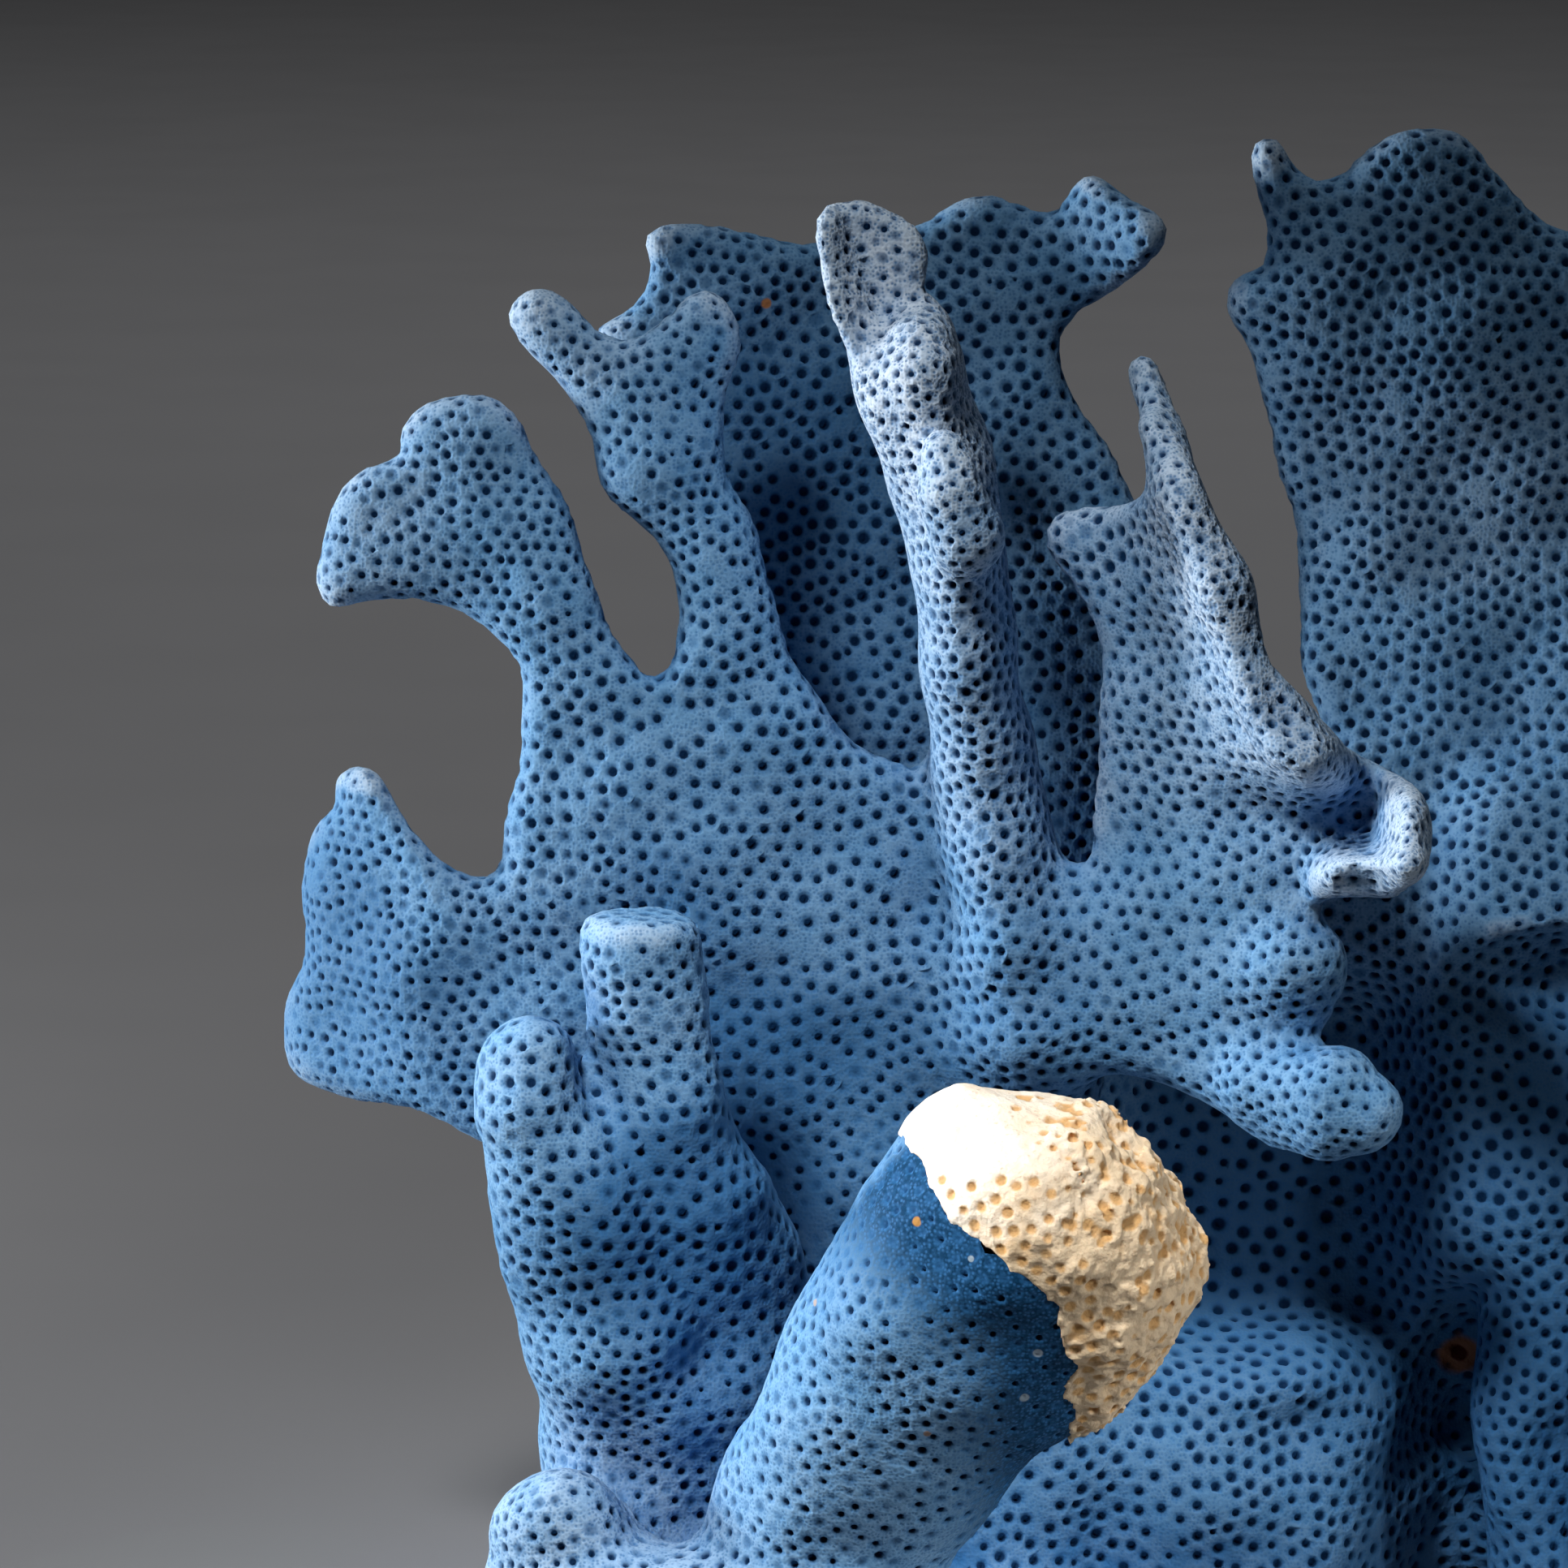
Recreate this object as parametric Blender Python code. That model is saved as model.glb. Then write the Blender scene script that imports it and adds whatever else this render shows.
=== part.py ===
"""Blue ridge coral: upright blades and fingers grown from one foot, which is cut off flat.

The forms are drawn in the view from the front, from slightly above. A place there is
(across, up, depth) in millimetres: across from the middle of the view, up from its lower
edge, and depth towards the back. Blades are thick sheets with a drawn outline, fingers are
rounded rods. They are fused into one field of distances, which is parted at the main forks.
"""

import math

import bpy
import numpy as np

MM = 0.001

# The front view, in which the outlines are drawn
VIEW_TILT = math.radians(12.0)
VIEW_DISTANCE = 393.0
VIEW_TARGET = (-24.0, -5.0, 62.0)
VIEW_MIDDLE_UP = 52.5

# The coral as a whole
CELL = 0.9
BOX_LOW = (-62.0, -48.0, -3.0)
BOX_HIGH = (62.0, 40.0, 108.0)
FAR = 20.0
FORK_GAP = 0.36
UNDULATION = 0.35
UNDULATION_WAVE = 9.0
WAVES = 14

# The corners of a grid cell, and the value given to a corner that is filled
CORNERS = np.array([(i, j, k) for k in (0, 1) for j in (0, 1) for i in (0, 1)])
FILLED = -0.1

# Faces kept of each mesh: a share of them for the base and the branches, and at least so many
BASE_SHARE = 0.05
BRANCH_SHARE = 0.085
FEWEST_FACES = 240

# The white crust on the broken end: how far it stands out, and how much finer its lumps are
CRUST_HEIGHT = 0.6
CRUST_FINENESS = 2.0
CRUST_LUMPS = 1.4

# The flat maps of the blades
MAP_STEP = 0.25
MAP_MARGIN = 6.0

CORAL_BLUE = (0.22, 0.38, 0.58)
TIP_BLUE = (0.27, 0.44, 0.64)
FINGER_BLUE = (0.10, 0.24, 0.45)
CRUST_CREAM = (0.80, 0.75, 0.64)
CORAL_ROUGHNESS = 0.7
CRUST_ROUGHNESS = 0.9


def step(low, high, x):
    """0 below low, 1 above high, and smooth between them."""
    t = np.clip((x - low) / (high - low), 0.0, 1.0)
    return t * t * (3.0 - 2.0 * t)


def bump(x, middle, width):
    """1 at the middle, fading smoothly to 0 on both sides."""
    return np.exp(-(((x - middle) / width) ** 2))


def view_of(x, y, z):
    """Across and up in the front view, for points of the world."""
    side, back, rise = x - VIEW_TARGET[0], y - VIEW_TARGET[1], z - VIEW_TARGET[2]
    away = back * math.cos(VIEW_TILT) - rise * math.sin(VIEW_TILT)
    shrink = VIEW_DISTANCE / (VIEW_DISTANCE + away)
    up = (rise * math.cos(VIEW_TILT) + back * math.sin(VIEW_TILT)) * shrink
    return side * shrink, up + VIEW_MIDDLE_UP


def world_of(across, up, depth):
    """The point of the world at a place of the front view."""
    up = up - VIEW_MIDDLE_UP
    reach = VIEW_DISTANCE + depth * math.cos(VIEW_TILT)
    rise = up * reach - VIEW_DISTANCE * depth * math.sin(VIEW_TILT)
    rise /= VIEW_DISTANCE * math.cos(VIEW_TILT) + up * math.sin(VIEW_TILT)
    away = depth * math.cos(VIEW_TILT) - rise * math.sin(VIEW_TILT)
    side = across * (VIEW_DISTANCE + away) / VIEW_DISTANCE
    return side + VIEW_TARGET[0], depth + VIEW_TARGET[1], rise + VIEW_TARGET[2]


def rounded(corners, per_span=6):
    """A closed smooth curve through the corners."""
    points = np.array(corners, float)
    before, after, beyond = (np.roll(points, shift, axis=0) for shift in (1, -1, -2))
    curve = []
    for t in np.arange(per_span) / per_span:
        curve.append(
            0.5
            * (
                2.0 * points
                + (after - before) * t
                + (2.0 * before - 5.0 * points + 4.0 * after - beyond) * t**2
                + (3.0 * points - 3.0 * after + beyond - before) * t**3
            )
        )
    return np.stack(curve, axis=1).reshape(-1, 2)


class FlatMap:
    """Values on a fine flat grid over the view, read between its points."""

    def __init__(self, outline):
        low = outline.min(axis=0) - MAP_MARGIN
        size = outline.max(axis=0) + MAP_MARGIN - low
        self.low = low
        self.count = (size / MAP_STEP).astype(int) + 2
        self.across = low[0] + MAP_STEP * np.arange(self.count[0])[:, None]
        self.up = low[1] + MAP_STEP * np.arange(self.count[1])[None, :]
        self.inside = self.distance_inside(outline)

    def distance_inside(self, outline):
        """Distance to the outline, positive inside it."""
        nearest = np.full(self.count, np.inf)
        odd = np.zeros(self.count, bool)
        for (a, b), (c, d) in zip(outline, np.roll(outline, -1, axis=0)):
            along, rise = c - a, d - b
            length = along**2 + rise**2 + 1e-12
            t = ((self.across - a) * along + (self.up - b) * rise) / length
            t = np.clip(t, 0.0, 1.0)
            gap = (self.across - a - t * along) ** 2 + (self.up - b - t * rise) ** 2
            nearest = np.minimum(nearest, gap)
            if b != d:
                crosses = (self.up < b) != (self.up < d)
                odd ^= crosses & (self.across < a + along * (self.up - b) / rise)
        return np.where(odd, 1.0, -1.0) * np.sqrt(nearest)

    def read(self, values, across, up):
        i = np.clip((across - self.low[0]) / MAP_STEP, 0, self.count[0] - 1.001)
        j = np.clip((up - self.low[1]) / MAP_STEP, 0, self.count[1] - 1.001)
        i0, j0 = i.astype(np.int32), j.astype(np.int32)
        s, t = i - i0, j - j0
        lower = values[i0, j0] * (1 - s) + values[i0 + 1, j0] * s
        upper = values[i0, j0 + 1] * (1 - s) + values[i0 + 1, j0 + 1] * s
        return lower * (1 - t) + upper * t


class Blade:
    """An upright sheet: its outline in the view, its depth there and its thickness."""

    def __init__(self, corners, depth, rim=1.35, swell=1.3, reach=7.0, blend=3.0):
        self.map = FlatMap(rounded(corners))
        self.rim, self.blend = rim, blend
        across, up = np.broadcast_arrays(self.map.across, self.map.up)
        self.level = depth(across, up)
        slopes = np.gradient(self.level, MAP_STEP)
        self.stretch = np.sqrt(1.0 + slopes[0] ** 2 + slopes[1] ** 2)
        inside = np.maximum(self.map.inside, 0.0)
        self.half = rim + swell * (1.0 - np.exp(-inside / reach))
        drawn = self.map.inside > -1.0
        margin = self.rim + swell + 2.0 * blend
        self.low = (
            across[drawn].min() - margin,
            up[drawn].min() - margin,
            self.level[drawn].min() - margin,
        )
        self.high = (
            across[drawn].max() + margin,
            up[drawn].max() + margin,
            self.level[drawn].max() + margin,
        )

    def distance(self, across, up, depth):
        read = self.map.read
        inside = read(self.map.inside, across, up)
        away = (depth - read(self.level, across, up)) / read(self.stretch, across, up)
        beside = np.maximum(self.rim - inside, 0.0)
        return np.hypot(beside, away) - read(self.half, across, up)


class Finger:
    """A rod through (across, up, depth, radius) places, drawn out in depth by a factor."""

    def __init__(self, places, drawn_out=1.0, blend=3.0, flat_top=None):
        self.places = np.array(places, float)
        self.drawn_out, self.blend, self.flat_top = drawn_out, blend, flat_top
        radius = self.places[:, 3:4] * [1.0, 1.0, drawn_out] + 2.0 * blend
        self.low = (self.places[:, :3] - radius).min(axis=0)
        self.high = (self.places[:, :3] + radius).max(axis=0)

    def distance(self, across, up, depth):
        nearest = FAR
        for start, end in zip(self.places, self.places[1:]):
            run = (end - start)[:3] / [1.0, 1.0, self.drawn_out]
            from_start = (across - start[0], up - start[1], (depth - start[2]) / self.drawn_out)
            t = sum(a * b for a, b in zip(from_start, run)) / (run @ run)
            t = np.clip(t, 0.0, 1.0)
            gap = sum((a - t * b) ** 2 for a, b in zip(from_start, run))
            radius = start[3] + t * (end[3] - start[3])
            nearest = np.minimum(nearest, np.sqrt(gap) - radius)
        if self.flat_top:
            top, at_depth = self.flat_top
            above = up - top - math.sin(VIEW_TILT) * (depth - at_depth)
            nearest = -fused(-nearest, -above, 1.5)
        return nearest


def fused(a, b, blend):
    """The smaller of two distances, with a fillet of about the blend where they meet."""
    share = np.clip(0.5 + 0.5 * (b - a) / blend, 0.0, 1.0)
    return b + (a - b) * share - blend * share * (1.0 - share)


# Depths of the blades


def left_depth(across, up):
    lean = 0.10 * np.maximum(up - 60.0, 0.0)
    beyond = np.maximum(-22.5 - across, 0.0)
    turned = 0.8 * beyond**2 / (beyond + 7.0) * step(60.0, 52.0, up)
    return 0.0045 * np.maximum(-5.0 - across, 0.0) ** 2 + lean + turned


def rear_depth(across, up):
    fold = 4.0 * step(19.0, 26.0, across) * step(82.0, 88.0, up)
    return 15.0 + 0.05 * (up - 60.0) + 1.2 * np.sin(across / 6.0) - fold


def fan_depth(across, up):
    ridge_across = 35.3 - 0.42 * (up - 53.5)
    left_of_ridge = np.maximum(ridge_across - across, 0.0)
    right_of_ridge = np.maximum(across - ridge_across, 0.0)
    on_ridge = np.exp(-((left_of_ridge / 4.5) ** 2) - (right_of_ridge / 2.8) ** 2)
    ridge = 7.0 * on_ridge * step(50.0, 56.0, up) * step(80.0, 72.0, up)
    scoop = 6.0 * step(39.5, 43.2, across) * bump(up, 49.0, 6.0)
    lip = 4.5 * bump(up, 46.0, 1.7) * step(34.5, 37.5, across)
    bowl = 2.5 * bump(across, 38.6, 2.6) * bump(up, 51.0, 2.8)
    lean = 0.07 * np.maximum(up - 58.0, 0.0)
    return -2.2 - 0.3 * (across - 12.0) - ridge - scoop - lip + bowl + lean


def right_depth(across, up):
    """The right blade and the wall under it, which bends back into the arch."""
    rise = 5.5 + 9.0 * step(36.0, 72.0, up) - 0.09 * (across - 40.0)
    swollen = 5.0 * bump(across, 26.0, 10.0) * bump(up, 3.0, 11.0)
    turning = 4.0 * step(34.5, 43.0, across) * step(22.0, 10.0, up) * step(52.0, 47.0, across)
    recess = 6.5 * step(17.0, 25.0, across) * step(47.0, 38.0, across)
    recess *= step(10.0, 18.0, up) * step(44.0, 36.0, up)
    pillar = 3.0 * bump(across, 50.5, 5.0) * step(34.0, 24.0, up)
    lip_edge = 42.9 - 7.0 * np.exp((43.5 - across) / 1.8)
    lip = 1.9 * step(-1.0, 1.4, up - lip_edge) * step(58.0, 44.0, up)
    lip *= step(43.0, 48.0, across) * step(64.0, 56.0, across)
    end = 0.02 * np.maximum(across - 56.0, 0.0) ** 2
    return rise + recess - swollen + turning - pillar - lip + end


def spoon_depth(across, up):
    from_crease = across - 4.8 - 0.36 * (88.0 - up)
    hollow = np.maximum(-0.95 * from_crease, 0.16 * from_crease)
    return -3.4 - hollow + 0.16 * (up - 84.0)


# Outlines of the blades, each through (across, up) places

LEFT_LOWER_LOBE = [
    (-29.5, 31.6), (-32.6, 33.5), (-33.2, 37.5), (-31.9, 41.0), (-31.9, 46.0), (-31.5, 49.3),
    (-30.1, 51.0), (-29.7, 53.0), (-28.3, 53.8), (-26.8, 53.0), (-25.0, 50.0), (-23.3, 47.2),
    (-20.5, 45.7), (-18.5, 47.0),
]
LEFT_MIDDLE_LOBE = [
    (-18.0, 51.0), (-17.4, 55.5), (-17.6, 59.5), (-19.2, 62.3), (-21.8, 64.4), (-25.0, 65.2),
    (-28.0, 64.8), (-30.2, 64.2), (-31.2, 65.8), (-30.8, 68.5), (-29.8, 71.5), (-28.0, 73.3),
    (-25.8, 74.4), (-25.4, 76.5), (-23.8, 78.1), (-20.5, 78.6), (-18.0, 77.3), (-16.4, 74.8),
    (-14.7, 71.0), (-13.3, 67.0), (-11.6, 63.4), (-9.9, 60.6), (-8.6, 59.7),
]
LEFT_UPPER_LOBE = [
    (-7.3, 61.0), (-7.0, 64.0), (-7.6, 67.2), (-9.2, 69.3), (-11.5, 72.0), (-12.8, 75.2),
    (-15.0, 79.1), (-17.3, 81.8), (-18.3, 83.7), (-17.6, 85.1), (-16.2, 85.4), (-14.0, 84.0),
    (-12.0, 82.7), (-10.0, 82.5), (-8.0, 83.9), (-6.3, 85.4), (-4.5, 85.5), (-3.0, 83.5),
    (-2.5, 81.0), (-3.5, 77.5), (-3.7, 74.0), (-2.8, 71.0), (-1.7, 67.4), (-0.3, 64.0),
    (1.0, 60.3), (2.7, 57.3), (5.0, 55.4), (7.6, 53.9), (10.0, 51.5), (13.0, 48.5),
]
LEFT_FOOT = [
    (20.0, 44.0), (21.0, 30.0), (20.0, 0.0), (18.0, -22.0), (-13.0, -22.0), (-14.0, 0.0),
    (-15.0, 18.0), (-17.5, 26.0), (-23.0, 30.0),
]
REAR_OUTLINE = [
    (-12.6, 82.9), (-11.0, 84.0), (-9.8, 85.2), (-9.2, 87.2), (-9.4, 89.1), (-8.0, 90.1),
    (-5.0, 90.0), (-2.0, 89.2), (1.0, 88.6), (4.5, 88.9), (7.5, 89.2), (9.6, 90.0),
    (11.5, 91.3), (13.5, 91.9), (16.0, 91.3), (18.0, 90.8), (19.3, 92.1), (20.6, 93.0),
    (22.5, 92.2), (25.0, 90.9), (25.6, 89.3), (24.5, 87.2), (22.5, 85.2), (20.0, 84.1),
    (18.4, 82.3), (18.5, 80.0), (20.4, 77.1), (22.3, 74.0), (24.0, 70.0), (25.5, 64.0),
    (27.0, 56.0), (29.0, 45.0), (31.0, 25.0), (31.0, -20.0), (-9.0, -20.0), (-9.0, 20.0),
    (-7.5, 42.0), (-5.5, 56.0), (-5.3, 66.0), (-6.2, 73.0), (-8.0, 78.5), (-10.8, 81.4),
]
FAN_OUTLINE = [
    (10.9, 46.0), (15.0, 48.0), (19.6, 47.3), (20.2, 50.0), (20.7, 53.0), (21.3, 56.0),
    (21.5, 59.0), (21.2, 61.5), (20.4, 64.2), (19.0, 66.5), (18.0, 68.2), (18.2, 69.7),
    (19.7, 70.6), (21.8, 71.2), (23.7, 71.9), (24.1, 73.5), (23.8, 76.0), (23.3, 78.8),
    (23.2, 80.4), (24.1, 81.1), (25.0, 80.3), (25.8, 78.5), (27.0, 76.0), (27.9, 73.0),
    (28.6, 70.5), (29.6, 68.0), (30.8, 65.6), (31.8, 62.9), (32.6, 60.8), (33.9, 59.5),
    (35.2, 58.2), (36.2, 56.7), (37.5, 55.2), (39.4, 54.2), (41.3, 53.2), (42.8, 51.5),
    (43.1, 49.0), (42.7, 46.8), (41.0, 45.3), (38.5, 44.9), (36.3, 44.6), (35.8, 43.5),
    (36.8, 41.5), (37.0, 39.5), (36.3, 37.5), (35.4, 35.8), (34.5, 32.0), (33.0, 28.6),
    (31.0, 29.4), (28.5, 30.7), (26.0, 32.2), (24.0, 33.0), (21.5, 33.5), (18.0, 32.5),
    (13.0, 31.0), (11.0, 36.0),
]
RIGHT_OUTLINE = [
    (37.3, 55.0), (36.3, 56.6), (35.1, 60.0), (34.5, 63.4), (34.2, 67.6), (33.9, 71.0),
    (33.0, 75.2), (31.9, 79.0), (30.9, 81.9), (30.0, 84.0), (30.2, 85.5), (31.2, 86.2),
    (32.4, 86.7), (32.7, 88.3), (32.2, 90.8), (31.5, 93.0), (31.3, 94.8), (32.0, 95.7),
    (33.2, 95.6), (34.3, 94.1), (35.6, 93.3), (37.2, 93.5), (38.5, 94.6), (40.4, 95.7),
    (42.5, 96.2), (44.8, 96.1), (46.5, 95.1), (48.0, 93.3), (49.6, 91.5), (51.0, 90.2),
    (53.0, 89.5), (55.6, 89.1), (57.6, 87.2), (58.6, 84.0), (60.4, 82.0), (63.0, 82.6),
    (65.4, 83.4), (67.6, 82.0), (68.4, 78.5), (68.6, 74.0), (70.0, 70.5), (72.6, 69.2),
    (74.8, 66.8), (75.2, 63.0), (73.2, 59.8), (71.5, 56.0), (71.0, 50.0), (69.5, 44.0),
    (66.5, 38.0), (64.5, 30.0), (63.5, 15.0), (62.5, -20.0),
    (8.0, -20.0), (8.0, 20.0), (10.0, 38.0), (22.0, 45.0),
    (33.0, 49.5),
]
SPOON_OUTLINE = [
    (2.4, 88.0), (2.5, 90.0), (3.4, 91.1), (5.2, 91.3), (7.0, 90.8), (8.8, 89.9), (9.5, 88.0),
    (9.5, 85.6), (10.9, 83.4), (11.4, 78.0), (9.0, 74.0), (6.8, 76.0), (5.4, 79.8), (4.0, 82.0),
    (2.9, 84.6),
]

BLADES = [
    Blade(LEFT_LOWER_LOBE + LEFT_MIDDLE_LOBE + LEFT_UPPER_LOBE + LEFT_FOOT, left_depth),
    Blade(REAR_OUTLINE, rear_depth),
    Blade(RIGHT_OUTLINE, right_depth, swell=1.8),
    Blade(FAN_OUTLINE, fan_depth, rim=1.2, swell=1.2, blend=2.4),
    Blade(SPOON_OUTLINE, spoon_depth, rim=0.9, swell=0.6, blend=1.6),
]

# Fingers and thick forms, each through (across, up, depth, radius) places

FOOT = [
    Finger([(-8, -11, -12, 11), (12, -14, -8, 12), (34, -14, 3, 12), (52, -12, 8, 11)], blend=4),
    Finger([(-4, -6, 8, 11), (14, 6, 10, 10), (34, 8, 14, 9)], blend=5),
    Finger([(34, 10, 19, 9), (44, 13, 21, 9), (54, 10, 19, 9)], blend=4),
    Finger([(32, -6, 19, 12), (54, -6, 18, 12)], blend=4),
    Finger([(-4, 8, 8, 8), (6, 26, 8, 8), (20, 30, 13, 7), (40, 30, 18, 6)], blend=4),
]
CENTRE_FIN = [
    Finger(
        [
            (16.0, 36, 0.0, 4.6), (14.6, 47, -1.5, 3.9), (13.3, 54, -2.8, 3.5),
            (12.4, 60, -3.6, 3.2), (11.8, 66, -4.4, 3.2), (11.1, 71, -4.8, 3.4),
            (9.9, 76, -5.0, 3.5), (8.9, 80, -5.0, 3.4), (8.9, 81.6, -5.2, 2.7),
        ],
        drawn_out=1.7,
        blend=2.2,
    ),
    Finger(
        [(10.7, 74.7, -11.8, 1.5), (11.0, 72.0, -12.2, 2.0), (12.2, 69.3, -11.4, 2.4)],
        blend=1.0,
    ),
]
FAN_RIDGE = [
    Finger(
        [
            (24.4, 76.4, -9.4, 0.8), (25.4, 74.0, -10.4, 0.9), (26.9, 70.5, -11.9, 1.0),
            (28.8, 65.5, -14.0, 1.1), (30.5, 60.8, -15.5, 1.2), (31.8, 57.0, -16.2, 1.2),
            (33.4, 55.0, -16.6, 1.3), (35.1, 54.1, -16.8, 1.3),
        ],
        drawn_out=1.8,
        blend=1.6,
    ),
    Finger([(32.0, 32.0, -9.5, 2.8), (36.9, 31.2, -11.8, 3.7), (38.9, 30.5, -12.4, 2.9)], blend=2.5),
    Finger([(34.0, 39.4, -9.4, 2.2), (34.4, 40.2, -9.6, 2.2)], blend=3.0),
]
FRONT_FINGERS = [
    Finger(
        [
            (-17.3, 33.9, -17.0, 3.4), (-16.6, 30.0, -17.0, 4.2), (-14.1, 24.0, -16.0, 5.2),
            (-10.9, 15.0, -13.5, 6.3), (-9.6, 8.0, -11.0, 6.6), (-8.0, -8.0, -8.0, 8.0),
        ],
        blend=2.0,
    ),
    Finger(
        [
            (-9.3, 43.5, -15.5, 3.9), (-9.0, 36.0, -15.5, 4.0), (-8.0, 30.0, -15.0, 4.7),
            (-6.3, 24.0, -13.5, 5.8), (-4.6, 15.0, -10.5, 7.2), (-3.5, 5.0, -9.0, 7.8),
        ],
        drawn_out=0.85,
        blend=2.0,
        flat_top=(43.6, -15.5),
    ),
    Finger([(-14.8, 1.9, -20.0, 5.0), (-13.0, -9.0, -17.0, 9.0)], blend=3.0),
    Finger([(-13.0, -5.0, -20.0, 6.0), (-6.0, -5.0, -22.0, 6.6), (2.0, -5.0, -21.0, 8.0)], blend=2.5),
]
BROKEN_FINGER = [
    Finger(
        [
            (1.5, -3.0, -18.0, 8.2), (4.4, 5.2, -23.0, 8.2), (8.2, 11.4, -26.0, 9.2),
            (12.0, 16.2, -28.0, 10.2), (16.2, 20.8, -29.5, 10.7),
        ],
        drawn_out=0.82,
        blend=2.5,
    ),
    Finger([(4.6, 17.2, -26.0, 3.0), (7.7, 24.0, -28.5, 3.3), (10.2, 26.6, -29.2, 3.2)], blend=2.5),
]
BACK_RIDGES = [
    Finger([(2, -14, 22, 5.0), (3, 25, 24, 3.6), (1, 50, 23, 2.4), (2, 58, 20, 1.6)], 2.6),
    Finger([(3, 20, 32, 2.6), (5, 40, 33, 2.2), (6, 49, 32, 1.8)], 1.8),
    Finger([(52, -12, 18, 5.0), (53, 25, 21, 3.6), (50, 52, 22, 2.6), (48, 66, 21, 1.8)], 2.4),
    Finger([(54, 20, 29, 2.6), (56, 36, 30, 2.2), (57, 44, 29, 1.8)], 1.8),
    Finger([(-10, -14, 10, 6.0), (-11, 18, 13, 4.4), (-12, 34, 14, 3.0), (-13, 40, 13, 2.4)], 1.4),
    Finger([(26, -12, 26, 6.0), (27, 12, 28, 4.6), (28, 26, 27, 3.2), (29, 32, 26, 2.4)], 1.2),
]
RIGHT_END = [
    Finger([(60, -12, -2, 7.0), (62, 10, -3, 5.0), (63, 26, -3, 3.8), (66, 36, -3, 2.8)], blend=4),
]
THICK_FORMS = (
    BROKEN_FINGER + FOOT + CENTRE_FIN + FAN_RIDGE + FRONT_FINGERS + BACK_RIDGES + RIGHT_END
)

# Hollows, taken out of the wall: a pocket under the right blade, the arch at the foot and the
# small hole inside it
HOLLOWS = [
    Finger([(47.6, 38.2, 0.0, 2.2), (52.0, 39.0, 0.2, 3.2), (57.0, 38.4, 0.0, 2.8)], 1.5, blend=1.6),
    Finger(
        [
            (45.2, 13.3, -3.5, 6.2), (45.2, 6.0, -3.5, 6.4),
            (45.8, -8.0, -3.5, 7.5), (46.0, -22.0, -3.5, 7.5),
        ],
        drawn_out=2.0,
        blend=1.4,
    ),
    Finger([(45.5, 11.2, 9.0, 0.7), (45.4, 9.4, 9.5, 1.2)], drawn_out=1.6, blend=0.8),
]

# The pillar that stands in front of the arch's right side
PILLAR = [
    Finger(
        [
            (49.4, 20.0, 4.6, 2.6), (49.2, 15.5, 2.6, 3.0), (49.2, 8.0, 1.8, 3.0),
            (50.0, 3.0, 1.8, 3.2), (51.6, -3.0, 2.0, 3.6), (53.0, -14.0, 3.0, 4.0),
        ],
        drawn_out=1.4,
        blend=1.2,
    ),
]


# The edge of the white crust on the broken end, then round outside it
WHITE_PART = [
    (8.2, 28.6), (9.6, 27.0), (9.9, 25.4), (11.4, 23.2), (13.0, 21.8), (14.2, 20.5), (16.3, 19.6),
    (17.6, 18.3), (18.6, 17.0), (18.7, 15.0), (19.4, 13.4), (19.0, 12.0), (19.2, 9.6), (19.0, 3.0),
    (40.0, 3.0), (40.0, 45.0), (5.0, 45.0), (5.0, 31.0),
]


class Region:
    """A part of the view, between a front and a back depth, that holds one branch."""

    def __init__(self, corners, front, back):
        self.map = FlatMap(np.array(corners, float))
        self.front, self.back = front, back

    def distance(self, across, up, depth):
        outside = -self.map.read(self.map.inside, across, up)
        return np.maximum(outside, np.maximum(self.front - depth, depth - self.back))


FORKS = {
    "left_lower_lobe": Region([(-40, 20), (-40, 58), (-22, 56), (-19.5, 46), (-19, 20)], -9, 20),
    "left_middle_lobe": Region(
        [(-40, 60.5), (-40, 90), (-24, 90), (-19.5, 82), (-14, 74), (-10.2, 66), (-8.4, 58.5)], -8, 12
    ),
    "left_upper_lobe": Region(
        [
            (-8.4, 58.5), (-10.2, 66), (-14, 74), (-19.5, 82), (-24, 90),
            (0, 92), (0, 80), (2.5, 70), (5, 58.5),
        ],
        -8,
        9.4,
    ),
    "white_crust": Region(WHITE_PART, -60, -14),
    "centre_fin": Region(
        [(10.2, 47.5), (9.2, 56), (0, 76), (-4, 100), (14, 100), (16.5, 62), (19.9, 47.5)], -20, 9
    ),
    "rear_blade": Region([(-20, 58), (-20, 100), (28, 100), (28, 58)], 9.5, 45),
    "fan_cup": Region([(36.6, 42), (36.6, 60), (50, 60), (50, 42)], -28, -2),
    "fan_finger": Region([(36.0, 36.5), (48, 40), (48, 22), (30, 22)], -20, -2),
    "fan_blade": Region([(20.2, 47), (12, 88), (45, 88), (45, 30), (21.6, 22)], -24, 0.5),
    "right_blade": Region([(28, 57), (26, 110), (90, 110), (90, 57)], 5, 45),
    "broken_finger": Region(
        [
            (-4.6, 6), (-2.5, 11.5), (-0.9, 15.7), (1.5, 20), (3, 24.5), (6, 30), (8, 36),
            (30, 36), (30, 6), (14.5, 3.5),
        ],
        -45,
        -16.6,
    ),
    "front_left_finger": Region(
        [(-30, 27), (-30, 50), (-14, 50), (-13.4, 33.5), (-11.0, 27)], -30, -9
    ),
    "front_middle_finger": Region(
        [(-11.0, 27), (-13.4, 33.5), (-14, 60), (8, 60), (4, 25.5)], -30, -8.5
    ),
}


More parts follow.
